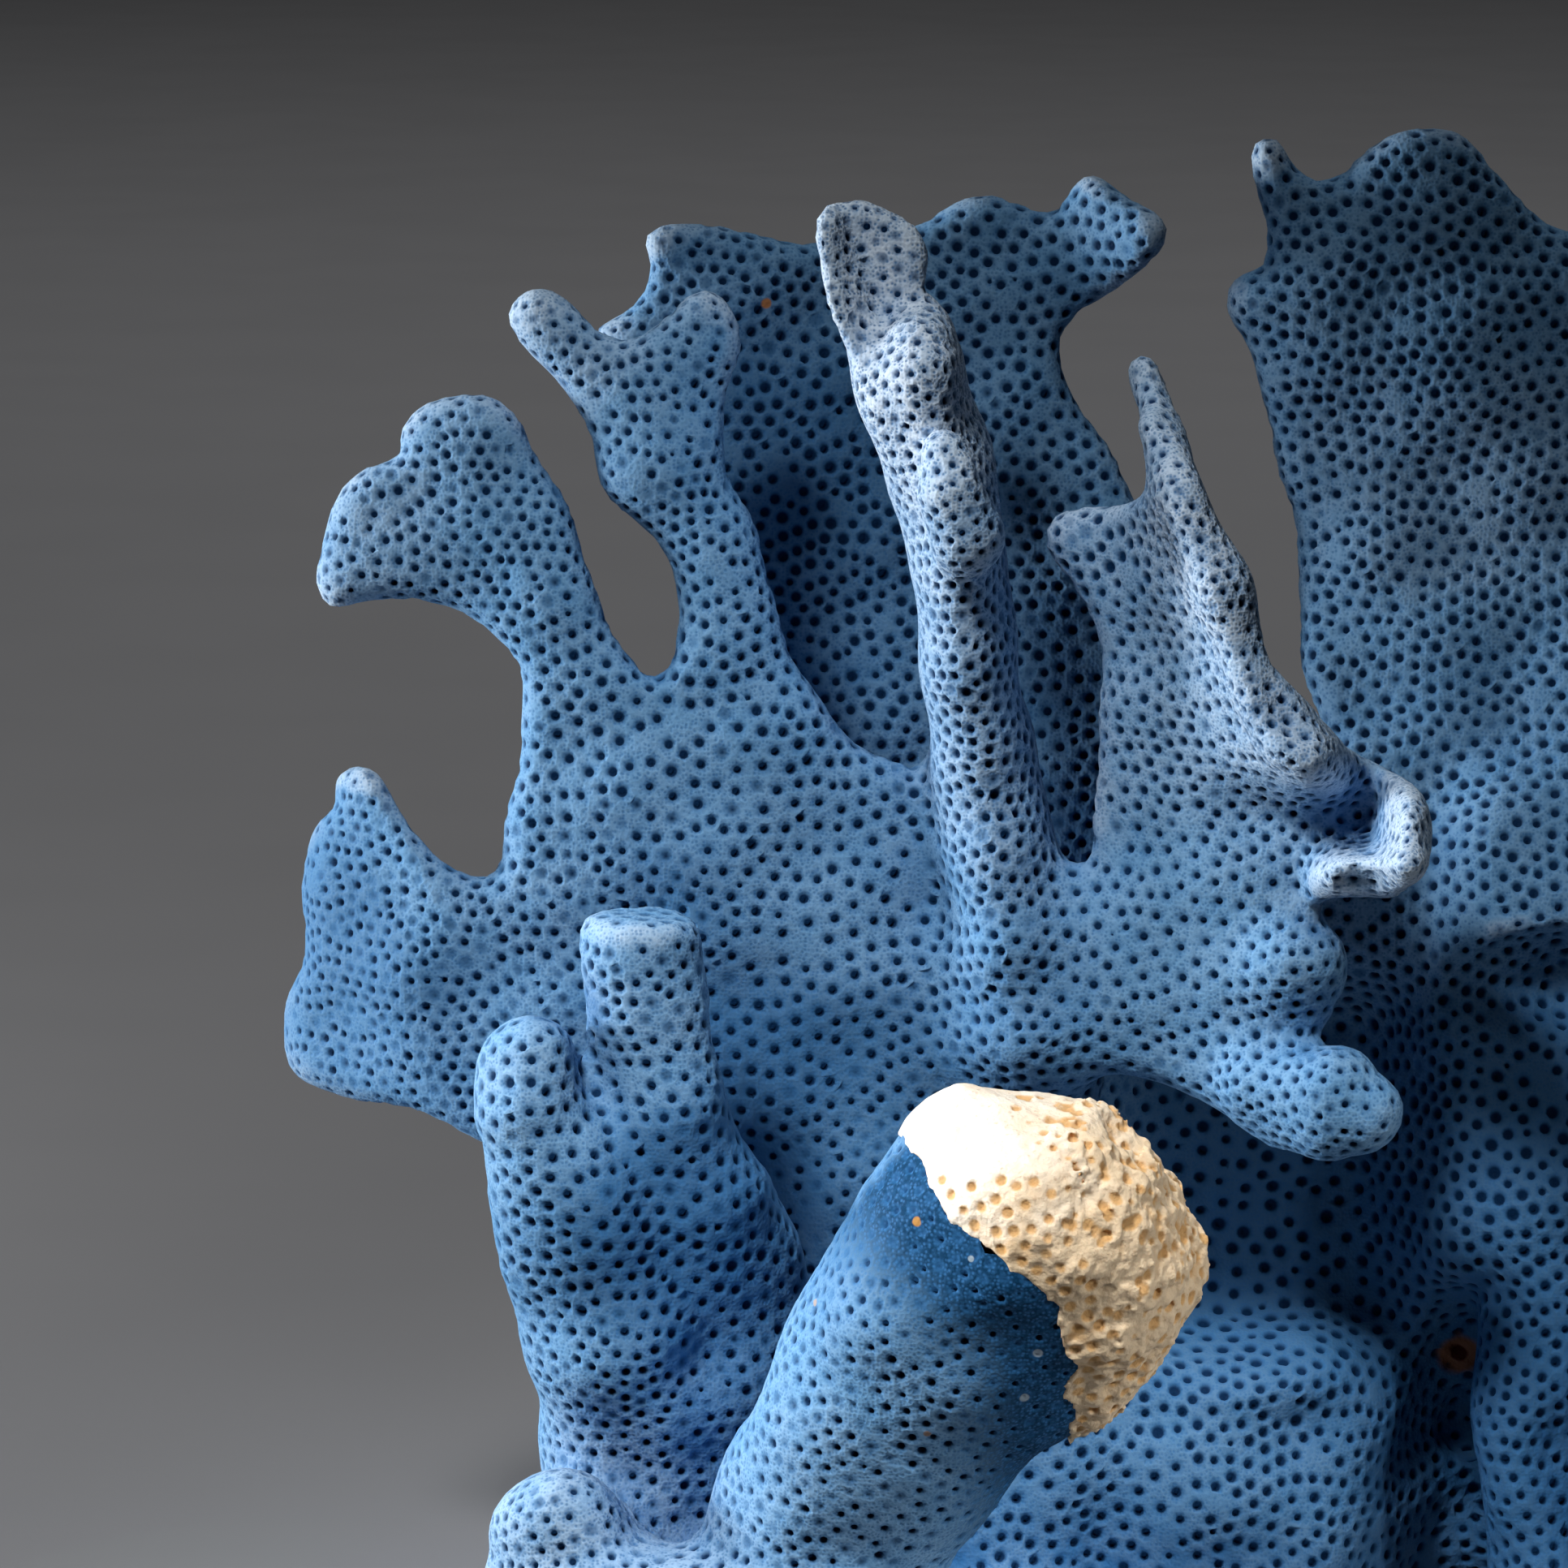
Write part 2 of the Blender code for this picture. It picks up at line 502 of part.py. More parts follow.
def places_within(axes, shape):
    """The part of the grid near a shape, as slices and as places of the view there."""
    corners = [
        world_of(across, up, depth)
        for across in (shape.low[0], shape.high[0])
        for up in (shape.low[1], shape.high[1])
        for depth in (shape.low[2], shape.high[2])
    ]
    low, high = np.min(corners, axis=0), np.max(corners, axis=0)
    near = tuple(
        slice(int(np.searchsorted(axis, a)), int(np.searchsorted(axis, b)))
        for axis, a, b in zip(axes, low, high)
    )
    x, y, z = np.meshgrid(*(axis[part] for axis, part in zip(axes, near)), indexing="ij")
    across, up = view_of(x, y, z)
    return near, (across, up, y - VIEW_TARGET[1])


def coral_field(axes):
    """The distance to the coral's surface, negative inside it, at the grid's points."""
    field = np.full([len(axis) for axis in axes], FAR)
    for shape in BLADES + THICK_FORMS:
        near, places = places_within(axes, shape)
        field[near] = fused(field[near], shape.distance(*places), shape.blend)
    for shape in HOLLOWS:
        near, places = places_within(axes, shape)
        field[near] = -fused(-field[near], shape.distance(*places), shape.blend)
    for shape in PILLAR:
        near, places = places_within(axes, shape)
        field[near] = fused(field[near], shape.distance(*places), shape.blend)
    return field


def undulation(x, y, z):
    """Gentle lumps all over the surface, from waves that run in different directions."""
    total = np.zeros(np.broadcast(x, y, z).shape)
    for wave in range(WAVES):
        tip = (2 * wave + 1) / WAVES - 1
        turn = 2.4 * wave
        flat = math.sqrt(1 - tip * tip)
        length = UNDULATION_WAVE * (0.7 + 0.08 * (wave * 5 % WAVES))
        run = flat * (x * math.cos(turn) + y * math.sin(turn)) + z * tip
        total += np.sin(2.0 * math.pi * run / length + 1.3 * wave)
    return UNDULATION * total / math.sqrt(WAVES)


def pinching_patterns():
    """Which of the 256 patterns of inside corners of a cell have parts that only touch."""

    def parted(chosen):
        reached, ahead = set(), chosen[:1]
        while ahead:
            corner = ahead.pop()
            reached.add(corner)
            near = (corner ^ 1, corner ^ 2, corner ^ 4)
            ahead += [other for other in near if other in chosen and other not in reached]
        return len(reached) < len(chosen)

    pinching = []
    for pattern in range(256):
        inner = [corner for corner in range(8) if pattern >> corner & 1]
        outer = [corner for corner in range(8) if corner not in inner]
        pinching.append(parted(inner) or parted(outer))
    return np.array(pinching)


def patterns_of(field):
    """The pattern of inside corners of every cell of the grid."""
    inside = field < 0
    end = np.array(field.shape) - 1
    return sum(
        inside[i : i + end[0], j : j + end[1], k : k + end[2]].astype(np.int16) << corner
        for corner, (i, j, k) in enumerate(CORNERS)
    )


def without_pinches(field):
    """Fills the cells where the surface would touch itself, corner by corner."""
    pinching = pinching_patterns()
    field = field.copy()
    while True:
        cells = np.argwhere(pinching[patterns_of(field)])
        if not len(cells):
            return field
        around = cells[:, None, :] + CORNERS[None, :, :]
        values = field[tuple(around.transpose(2, 0, 1))]
        least = np.where(values < 0, FAR, values).argmin(axis=1)
        field[tuple(around[np.arange(len(cells)), least].T)] = FILLED


def surface_net(field, axes):
    """Points and quads of the surface where the field is zero: a point in each crossed cell."""
    field = without_pinches(field)
    inside = field < 0
    shape = np.array(field.shape) - 1
    patterns = patterns_of(field)
    cells = np.argwhere((patterns > 0) & (patterns < 255))
    number = np.full(shape, -1, np.int32)
    number[tuple(cells.T)] = np.arange(len(cells))
    points, crossings = np.zeros((len(cells), 3)), np.zeros(len(cells))
    for corner in CORNERS:
        for axis in range(3):
            if corner[axis]:
                continue
            end = corner.copy()
            end[axis] = 1
            a = field[tuple((cells + corner).T)]
            b = field[tuple((cells + end).T)]
            crossed = (a < 0) != (b < 0)
            t = np.where(crossed, a / np.where(crossed, a - b, 1.0), 0.0)
            place = corner + t[:, None] * (end - corner)
            points += np.where(crossed[:, None], place, 0.0)
            crossings += crossed
    points = cells + points / crossings[:, None]
    quads = []
    for axis in range(3):
        b, c = (axis + 1) % 3, (axis + 2) % 3
        first = np.moveaxis(inside, axis, 0)
        starts = np.argwhere(np.moveaxis(first[1:] != first[:-1], 0, axis))
        starts = starts[(starts[:, b] > 0) & (starts[:, c] > 0)]
        starts = starts[(starts[:, b] < shape[b]) & (starts[:, c] < shape[c])]
        around = []
        for step_b, step_c in ((1, 1), (0, 1), (0, 0), (1, 0)):
            cell = starts.copy()
            cell[:, b] -= step_b
            cell[:, c] -= step_c
            around.append(number[tuple(cell.T)])
        quad = np.stack(around, axis=1)
        outward = inside[tuple(starts.T)]
        quads.append(np.where(outward[:, None], quad, quad[:, ::-1]))
    origin = np.array([axis[0] for axis in axes])
    spacing = np.array([axis[1] - axis[0] for axis in axes])
    return origin + points * spacing, np.concatenate(quads)


def largest_body(points, quads):
    """The biggest connected part of a mesh."""
    label = np.arange(len(points))
    while True:
        lowest = label[quads].min(axis=1)
        new = label.copy()
        np.minimum.at(new, quads, lowest[:, None])
        new = new[new]
        if (new == label).all():
            break
        label = new
    names, sizes = np.unique(label[quads[:, 0]], return_counts=True)
    keep = label == names[sizes.argmax()]
    renumber = np.cumsum(keep) - 1
    return points[keep], renumber[quads[keep[quads[:, 0]]]]


def make_material(name, colour, roughness):
    material = bpy.data.materials.new(name)
    material.use_nodes = True
    shader = material.node_tree.nodes["Principled BSDF"]
    shader.inputs["Base Color"].default_value = (*colour, 1.0)
    shader.inputs["Roughness"].default_value = roughness
    shader.inputs["Metallic"].default_value = 0.0
    return material


def make_node(name, field, axes, share, colour, roughness=CORAL_ROUGHNESS):
    """One branch as a closed mesh, with its faces thinned out to the share wanted."""
    points, quads = largest_body(*surface_net(field, axes))
    triangles = 2 * len(quads)
    mesh = bpy.data.meshes.new(name)
    mesh.from_pydata((points * MM).tolist(), [], quads.tolist())
    mesh.shade_smooth()
    mesh.materials.append(make_material(name, colour, roughness))
    node = bpy.data.objects.new(name, mesh)
    bpy.context.scene.collection.objects.link(node)
    thin = node.modifiers.new("thin", "DECIMATE")
    thin.ratio = max(share, FEWEST_FACES / triangles)
    thin.use_collapse_triangulate = True


def main():
    for obj in list(bpy.data.objects):
        bpy.data.objects.remove(obj)
    axes = [np.arange(low, high, CELL) for low, high in zip(BOX_LOW, BOX_HIGH)]
    x, y, z = np.meshgrid(*axes, indexing="ij")
    across, up = view_of(x, y, z)
    depth = y - VIEW_TARGET[1]
    coral = np.maximum(coral_field(axes) + undulation(x, y, z), -z)
    finger = BROKEN_FINGER[0].distance(across, up, depth)
    lumps = CRUST_LUMPS * undulation(*(CRUST_FINENESS * side for side in (x, y, z)))
    crust = finger + lumps - CRUST_HEIGHT
    for name, region in FORKS.items():
        within = region.distance(across, up, depth)
        branch = np.maximum(crust if name == "white_crust" else coral, within + FORK_GAP / 2)
        coral = np.maximum(coral, FORK_GAP / 2 - within)
        if name == "white_crust":
            make_node(name, branch, axes, BRANCH_SHARE, CRUST_CREAM, CRUST_ROUGHNESS)
        elif name == "broken_finger":
            make_node(name, branch, axes, BRANCH_SHARE, FINGER_BLUE)
        else:
            make_node(name, branch, axes, BRANCH_SHARE, TIP_BLUE)
    make_node("base", coral, axes, BASE_SHARE, CORAL_BLUE)


main()
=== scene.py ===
"""Looks of the blue ridge coral: its pored skin, the white crust, the light and the camera.

The forms are the ones of the solid model, drawn in the view from the front, from slightly
above. A place there is (across, up, depth) in millimetres. They are fused into one field of
distances, its surface is covered with pores, and each branch's share of it replaces its solid.
"""

import math

import bpy
import numpy as np
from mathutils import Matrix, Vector, bvhtree, kdtree


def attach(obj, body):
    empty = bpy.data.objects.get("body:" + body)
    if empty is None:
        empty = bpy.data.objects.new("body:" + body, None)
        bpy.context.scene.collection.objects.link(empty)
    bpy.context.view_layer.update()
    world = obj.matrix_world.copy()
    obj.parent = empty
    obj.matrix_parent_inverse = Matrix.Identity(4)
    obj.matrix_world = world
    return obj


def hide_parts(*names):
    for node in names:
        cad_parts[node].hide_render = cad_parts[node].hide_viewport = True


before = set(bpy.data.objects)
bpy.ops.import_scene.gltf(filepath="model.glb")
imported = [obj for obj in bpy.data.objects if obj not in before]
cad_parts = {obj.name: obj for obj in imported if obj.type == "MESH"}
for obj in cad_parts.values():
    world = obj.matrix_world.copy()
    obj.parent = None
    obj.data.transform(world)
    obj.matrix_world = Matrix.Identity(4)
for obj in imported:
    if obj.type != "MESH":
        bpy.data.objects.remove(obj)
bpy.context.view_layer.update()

MM = 0.001
SEED = 7

# The front view, in which the outlines are drawn and which the camera shows
VIEW_TILT = math.radians(12.0)
VIEW_DISTANCE = 393.0
VIEW_TARGET = (-24.0, -5.0, 62.0)
VIEW_MIDDLE_UP = 52.5
VIEW_WIDTH = 105.0

# The coral as a whole
CELL = 0.45
BOX_LOW = (-62.0, -48.0, -3.0)
BOX_HIGH = (62.0, 40.0, 108.0)
FAR = 20.0
UNDULATION = 0.35
UNDULATION_WAVE = 9.0
WAVES = 14

# The corners of a grid cell, and the value given to a corner that is filled
CORNERS = np.array([(i, j, k) for k in (0, 1) for j in (0, 1) for i in (0, 1)])
FILLED = -0.1

# The steps in which a line of the view is followed to the surface, and the rounding of the edge
# of a finger's flat top
LINE_STEP = 0.1
FLAT_TOP_EDGE = 1.5

# The flat maps of the blades, and the points of a curve between two corners
MAP_STEP = 0.25
MAP_MARGIN = 6.0
CURVE_STEPS = 6

# Where the skin is open, where it is an edge, where it is bare beside the crust, where the
# crust covers it, and the planes that part the base into pieces
OPEN_REACHES = (2.5, 7.0)
EDGE_REACH = 2.0
EDGE_RISES = (0.10, 0.42)
BARE_REACHES = (10.0, 3.0)
BARE_FRONT = -16.0
BARE_AWAY = 0.8
COVERED = -0.8
UNDERSIDE = 0.3
BASE_SPLIT = (0.0, 2.0)

# The pores: how much their radii differ, the largest and usual share of their cell's room,
# how much smaller and shallower they are on edges and beside the crust, the shares of cells
# without a pore and of filled pores there, and the funnel's depth, lean, rim and marks
EVENING_ROUNDS = 2
PORE_SPREAD = 0.10
PORE_ROOM = 0.85
PORE_SWELL = 1.05
EDGE_NARROWING = 0.30
BARE_NARROWING = 0.15
EDGE_LEVELLING = 0.4
BLANKS = 0.03
EDGE_BLANKS = 0.30
EDGE_FILLED = 0.25
BARE_FILLED = 0.2
PORE_DEPTH = 0.85
PORE_LEAN = 0.35
FILLED_DEPTH = 0.22
FILLED_PITS = (0.25, 0.55)
RIM_DROP = 0.08
RIM_CALM = 0.8
RIM_PIT = 0.3
RIDGE_HEIGHT = 0.03

# How the skin differs over the coral: across and up, then the gap that pores keep, their
# radius, the share of them that is filled up, and how frosted and pale the skin is, in places
# also a painted highlight where the lamps light it too little; below 0 it is painted shade, a
# darker, deeper blue where the skin lies in shade
TRAIT_REACH = 3.0
SKIN_PLACES = [
    (-28, 43, 0.86, 0.27, 0.35, -0.7),
    (-22, 46, 0.90, 0.29, 0.20, 0.1),
    (-27, 70, 0.92, 0.29, 0.15, 0.2),
    (-20, 70, 0.88, 0.28, 0.10, 0.0),
    (-13, 82, 0.86, 0.27, 0.20, 0.25),
    (-7, 76, 0.88, 0.29, 0.10, -0.3),
    (-8, 52, 1.06, 0.36, 0.04, 0.0),
    (-14, 44, 0.98, 0.30, 0.25, 0.1),
    (3, 46, 1.02, 0.36, 0.02, -0.1),
    (0, 33, 1.02, 0.38, 0.02, -1.0),
    (-9, 45, 0.98, 0.31, 0.25, -0.6),
    (-10, 38, 0.98, 0.31, 0.15, 0.1),
    (-7, 25, 1.02, 0.38, 0.05, -1.0),
    (-17, 33, 1.06, 0.34, 0.08, 0.1),
    (-22, 26, 1.00, 0.33, 0.10, -0.9),
    (-14, 3, 0.94, 0.27, 0.30, 0.3),
    (3, 8, 1.00, 0.27, 0.40, 0.05),
    (4, 29, 1.00, 0.28, 0.35, -0.6),
    (5, 22, 1.00, 0.28, 0.30, -0.5),
    (9, 17, 1.00, 0.28, 0.30, -0.2),
    (3, 74, 0.95, 0.42, 0.00, -0.7),
    (15, 84, 0.98, 0.36, 0.02, -0.1),
    (20, 68, 0.95, 0.40, 0.00, 0.25),
    (5, 88, 0.84, 0.25, 0.45, 1.0),
    (10, 78, 0.82, 0.26, 0.15, 1.0),
    (12, 68, 0.88, 0.28, 0.10, 0.5),
    (14, 54, 0.90, 0.33, 0.05, 0.3),
    (23, 62, 0.97, 0.28, 0.05, 0.2),
    (29, 68, 0.84, 0.25, 0.10, 0.8),
    (27, 44, 1.02, 0.27, 0.02, 0.0),
    (36, 33, 0.90, 0.26, 0.15, 0.0),
    (42, 50, 0.90, 0.30, 0.20, 0.6),
    (38, 50, 0.90, 0.30, 0.05, 0.1),
    (36, 55, 0.88, 0.27, 0.10, 0.6),
    (45, 88, 0.94, 0.36, 0.00, 0.0),
    (46, 72, 0.93, 0.32, 0.00, 0.15),
    (47, 55, 0.98, 0.33, 0.02, -0.3),
    (34, 22, 1.06, 0.45, 0.00, -1.0),
    (48, 28, 1.00, 0.42, 0.00, -0.8),
    (30, 4, 1.02, 0.38, 0.00, -0.5),
    (50, 9, 1.00, 0.36, 0.00, -1.0),
]

# The white crust: its grid and thickness, how far it stands out at its edge, inside it and at
# least, how deep in the finger it ends, and its lumps
CRUST_CELL = 0.18
CRUST_MARGIN = 1.2
CRUST_THICKNESS = 1.3
CRUST_EDGE = 0.12
CRUST_HEIGHT = 0.55
CRUST_RISING = (0.3, -2.5)
CRUST_LEAST = 0.08
CRUST_REACH = 2.5
CRUST_FINENESS = 2.0
CRUST_LUMPS = 0.55

# Its ragged edge and its grain, as (size, height), and the grain's smoother share at the left
CRUST_RAGGED = [(1.6, 0.35), (0.6, 0.28)]
CRUST_GRAIN = [(3.0, 0.22), (1.4, 0.20), (0.75, 0.20), (0.4, 0.22)]
CRUST_SMOOTH = 0.22
CRUST_COARSE = (13.0, 19.5)

# Its pores, which end at the right and at the top, its loose pits, where pits and low places
# are marked for the colour, and where it is painted warmer and darker towards its lower right,
# as painted shade
CRUST_PORE_SPACING = 1.05
CRUST_PORE_RADII = (0.30, 0.38)
CRUST_INNER_EDGE = -0.3
CRUST_PORE_EDGE = -0.6
CRUST_PORE_END = 20.5
CRUST_PORE_TOP = 26.0
CRUST_PITS = 320
CRUST_PIT_RADII = (0.15, 0.45)
CRUST_PIT_EDGE = -0.8
CRUST_PIT_DEPTH = 0.25
CRUST_PIT_MARGIN = 0.5
CRUST_PIT_FADE = (0.2, -0.1)
CRUST_LOW_FADE = (0.1, -0.5)
CRUST_PAINTED_SHADE = (-11.0, 5.0)


def step(low, high, x):
    """0 below low, 1 above high, and smooth between them."""
    t = np.clip((x - low) / (high - low), 0.0, 1.0)
    return t * t * (3.0 - 2.0 * t)


def bump(x, middle, width):
    """1 at the middle, fading smoothly to 0 on both sides."""
    return np.exp(-(((x - middle) / width) ** 2))


def view_of(x, y, z):
    """Across and up in the front view, for points of the world."""
    side, back, rise = x - VIEW_TARGET[0], y - VIEW_TARGET[1], z - VIEW_TARGET[2]
    away = back * math.cos(VIEW_TILT) - rise * math.sin(VIEW_TILT)
    shrink = VIEW_DISTANCE / (VIEW_DISTANCE + away)
    up = (rise * math.cos(VIEW_TILT) + back * math.sin(VIEW_TILT)) * shrink
    return side * shrink, up + VIEW_MIDDLE_UP


def places_of(points):
    """Across, up and depth in the front view, for a list of points."""
    return (*view_of(*points.T), points[:, 1] - VIEW_TARGET[1])


def world_of(across, up, depth):
    """The point of the world at a place of the front view."""
    up = up - VIEW_MIDDLE_UP
    reach = VIEW_DISTANCE + depth * math.cos(VIEW_TILT)
    rise = up * reach - VIEW_DISTANCE * depth * math.sin(VIEW_TILT)
    rise /= VIEW_DISTANCE * math.cos(VIEW_TILT) + up * math.sin(VIEW_TILT)
    away = depth * math.cos(VIEW_TILT) - rise * math.sin(VIEW_TILT)
    side = across * (VIEW_DISTANCE + away) / VIEW_DISTANCE
    return side + VIEW_TARGET[0], depth + VIEW_TARGET[1], rise + VIEW_TARGET[2]


def rounded(corners):
    """A closed smooth curve through the corners."""
    points = np.array(corners, float)
    before, after, beyond = (np.roll(points, shift, axis=0) for shift in (1, -1, -2))
    curve = []
    for t in np.arange(CURVE_STEPS) / CURVE_STEPS:
        place = 2.0 * points
        place = place + (after - before) * t
        place = place + (2.0 * before - 5.0 * points + 4.0 * after - beyond) * t**2
        place = place + (3.0 * points - 3.0 * after + beyond - before) * t**3
        curve.append(0.5 * place)
    return np.stack(curve, axis=1).reshape(-1, 2)


class FlatMap:
    """Values on a fine flat grid over the view, read between its points."""

    def __init__(self, outline):
        low = outline.min(axis=0) - MAP_MARGIN
        size = outline.max(axis=0) + MAP_MARGIN - low
        self.low = low
        self.count = (size / MAP_STEP).astype(int) + 2
        self.across = low[0] + MAP_STEP * np.arange(self.count[0])[:, None]
        self.up = low[1] + MAP_STEP * np.arange(self.count[1])[None, :]
        self.inside = self.distance_inside(outline)

    def distance_inside(self, outline):
        """Distance to the outline, positive inside it."""
        nearest = np.full(self.count, np.inf)
        odd = np.zeros(self.count, bool)
        for (a, b), (c, d) in zip(outline, np.roll(outline, -1, axis=0)):
            along, rise = c - a, d - b
            length = along**2 + rise**2 + 1e-12
            t = ((self.across - a) * along + (self.up - b) * rise) / length
            t = np.clip(t, 0.0, 1.0)
            gap = (self.across - a - t * along) ** 2 + (self.up - b - t * rise) ** 2
            nearest = np.minimum(nearest, gap)
            if b != d:
                crosses = (self.up < b) != (self.up < d)
                odd ^= crosses & (self.across < a + along * (self.up - b) / rise)
        return np.where(odd, 1.0, -1.0) * np.sqrt(nearest)

    def read(self, values, across, up):
        i = np.clip((across - self.low[0]) / MAP_STEP, 0, self.count[0] - 1.001)
        j = np.clip((up - self.low[1]) / MAP_STEP, 0, self.count[1] - 1.001)
        i0, j0 = i.astype(np.int32), j.astype(np.int32)
        s, t = i - i0, j - j0
        lower = values[i0, j0] * (1 - s) + values[i0 + 1, j0] * s
        upper = values[i0, j0 + 1] * (1 - s) + values[i0 + 1, j0 + 1] * s
        return lower * (1 - t) + upper * t


class Blade:
    """An upright sheet: its outline in the view, its depth there and its thickness."""

    def __init__(self, corners, depth, rim=1.35, swell=1.3, reach=7.0, blend=3.0):
        self.map = FlatMap(rounded(corners))
        self.rim, self.blend = rim, blend
        across, up = np.broadcast_arrays(self.map.across, self.map.up)
        self.level = depth(across, up)
        slopes = np.gradient(self.level, MAP_STEP)
        self.stretch = np.sqrt(1.0 + slopes[0] ** 2 + slopes[1] ** 2)
        inside = np.maximum(self.map.inside, 0.0)
        self.half = rim + swell * (1.0 - np.exp(-inside / reach))
        drawn = self.map.inside > -1.0
        margin = self.rim + swell + 2.0 * blend
        places = np.stack([across[drawn], up[drawn], self.level[drawn]])
        self.low, self.high = places.min(axis=1) - margin, places.max(axis=1) + margin

    def distance(self, across, up, depth):
        read = self.map.read
        inside = read(self.map.inside, across, up)
        away = (depth - read(self.level, across, up)) / read(self.stretch, across, up)
        beside = np.maximum(self.rim - inside, 0.0)
        return np.hypot(beside, away) - read(self.half, across, up)


class Finger:
    """A rod through (across, up, depth, radius) places, drawn out in depth by a factor."""

    def __init__(self, places, drawn_out=1.0, blend=3.0, flat_top=None):
        self.places = np.array(places, float)
        self.drawn_out, self.blend, self.flat_top = drawn_out, blend, flat_top
        radius = self.places[:, 3:4] * [1.0, 1.0, drawn_out] + 2.0 * blend
        self.low = (self.places[:, :3] - radius).min(axis=0)
        self.high = (self.places[:, :3] + radius).max(axis=0)

    def distance(self, across, up, depth):
        nearest = FAR
        for start, end in zip(self.places, self.places[1:]):
            run = (end - start)[:3] / [1.0, 1.0, self.drawn_out]
            from_start = (across - start[0], up - start[1], (depth - start[2]) / self.drawn_out)
            t = sum(a * b for a, b in zip(from_start, run)) / (run @ run)
            t = np.clip(t, 0.0, 1.0)
            gap = sum((a - t * b) ** 2 for a, b in zip(from_start, run))
            radius = start[3] + t * (end[3] - start[3])
            nearest = np.minimum(nearest, np.sqrt(gap) - radius)
        if self.flat_top:
            top, at_depth = self.flat_top
            above = up - top - math.sin(VIEW_TILT) * (depth - at_depth)
            nearest = -fused(-nearest, -above, FLAT_TOP_EDGE)
        return nearest


def fused(a, b, blend):
    """The smaller of two distances, with a fillet of about the blend where they meet."""
    share = np.clip(0.5 + 0.5 * (b - a) / blend, 0.0, 1.0)
    return b + (a - b) * share - blend * share * (1.0 - share)


# Depths of the blades


def left_depth(across, up):
    lean = 0.10 * np.maximum(up - 60.0, 0.0)
    beyond = np.maximum(-22.5 - across, 0.0)
    turned = 0.8 * beyond**2 / (beyond + 7.0) * step(60.0, 52.0, up)
    return 0.0045 * np.maximum(-5.0 - across, 0.0) ** 2 + lean + turned


def rear_depth(across, up):
    fold = 4.0 * step(19.0, 26.0, across) * step(82.0, 88.0, up)
    return 15.0 + 0.05 * (up - 60.0) + 1.2 * np.sin(across / 6.0) - fold


def fan_depth(across, up):
    ridge_across = 35.3 - 0.42 * (up - 53.5)
    left_of_ridge = np.maximum(ridge_across - across, 0.0)
    right_of_ridge = np.maximum(across - ridge_across, 0.0)
    on_ridge = np.exp(-((left_of_ridge / 4.5) ** 2) - (right_of_ridge / 2.8) ** 2)
    ridge = 7.0 * on_ridge * step(50.0, 56.0, up) * step(80.0, 72.0, up)
    scoop = 6.0 * step(39.5, 43.2, across) * bump(up, 49.0, 6.0)
    lip = 4.5 * bump(up, 46.0, 1.7) * step(34.5, 37.5, across)
    bowl = 2.5 * bump(across, 38.6, 2.6) * bump(up, 51.0, 2.8)
    lean = 0.07 * np.maximum(up - 58.0, 0.0)
    return -2.2 - 0.3 * (across - 12.0) - ridge - scoop - lip + bowl + lean


def right_depth(across, up):
    """The right blade and the wall under it, which bends back into the arch."""
    rise = 5.5 + 9.0 * step(36.0, 72.0, up) - 0.09 * (across - 40.0)
    swollen = 5.0 * bump(across, 26.0, 10.0) * bump(up, 3.0, 11.0)
    turning = 4.0 * step(34.5, 43.0, across) * step(22.0, 10.0, up) * step(52.0, 47.0, across)
    recess = 6.5 * step(17.0, 25.0, across) * step(47.0, 38.0, across)
    recess *= step(10.0, 18.0, up) * step(44.0, 36.0, up)
    pillar = 3.0 * bump(across, 50.5, 5.0) * step(34.0, 24.0, up)
    lip_edge = 42.9 - 7.0 * np.exp((43.5 - across) / 1.8)
    lip = 1.9 * step(-1.0, 1.4, up - lip_edge) * step(58.0, 44.0, up)
    lip *= step(43.0, 48.0, across) * step(64.0, 56.0, across)
    end = 0.02 * np.maximum(across - 56.0, 0.0) ** 2
    return rise + recess - swollen + turning - pillar - lip + end


def spoon_depth(across, up):
    from_crease = across - 4.8 - 0.36 * (88.0 - up)
    hollow = np.maximum(-0.95 * from_crease, 0.16 * from_crease)
    return -3.4 - hollow + 0.16 * (up - 84.0)


# Outlines of the blades, each through (across, up) places

LEFT_LOWER_LOBE = [
    (-29.5, 31.6), (-32.6, 33.5), (-33.2, 37.5), (-31.9, 41), (-31.9, 46), (-31.5, 49.3),
    (-30.1, 51), (-29.7, 53), (-28.3, 53.8), (-26.8, 53), (-25, 50), (-23.3, 47.2), (-20.5, 45.7),
    (-18.5, 47),
]
LEFT_MIDDLE_LOBE = [
    (-18, 51), (-17.4, 55.5), (-17.6, 59.5), (-19.2, 62.3), (-21.8, 64.4), (-25, 65.2), (-28, 64.8),
    (-30.2, 64.2), (-31.2, 65.8), (-30.8, 68.5), (-29.8, 71.5), (-28, 73.3), (-25.8, 74.4),
    (-25.4, 76.5), (-23.8, 78.1), (-20.5, 78.6), (-18, 77.3), (-16.4, 74.8), (-14.7, 71),
    (-13.3, 67), (-11.6, 63.4), (-9.9, 60.6), (-8.6, 59.7),
]
LEFT_UPPER_LOBE = [
    (-7.3, 61), (-7, 64), (-7.6, 67.2), (-9.2, 69.3), (-11.5, 72), (-12.8, 75.2), (-15, 79.1),
    (-17.3, 81.8), (-18.3, 83.7), (-17.6, 85.1), (-16.2, 85.4), (-14, 84), (-12, 82.7), (-10, 82.5),
    (-8, 83.9), (-6.3, 85.4), (-4.5, 85.5), (-3, 83.5), (-2.5, 81), (-3.5, 77.5), (-3.7, 74),
    (-2.8, 71), (-1.7, 67.4), (-0.3, 64), (1, 60.3), (2.7, 57.3), (5, 55.4), (7.6, 53.9),
    (10, 51.5), (13, 48.5),
]
LEFT_FOOT = [
    (20, 44), (21, 30), (20, 0), (18, -22), (-13, -22), (-14, 0), (-15, 18), (-17.5, 26), (-23, 30),
]
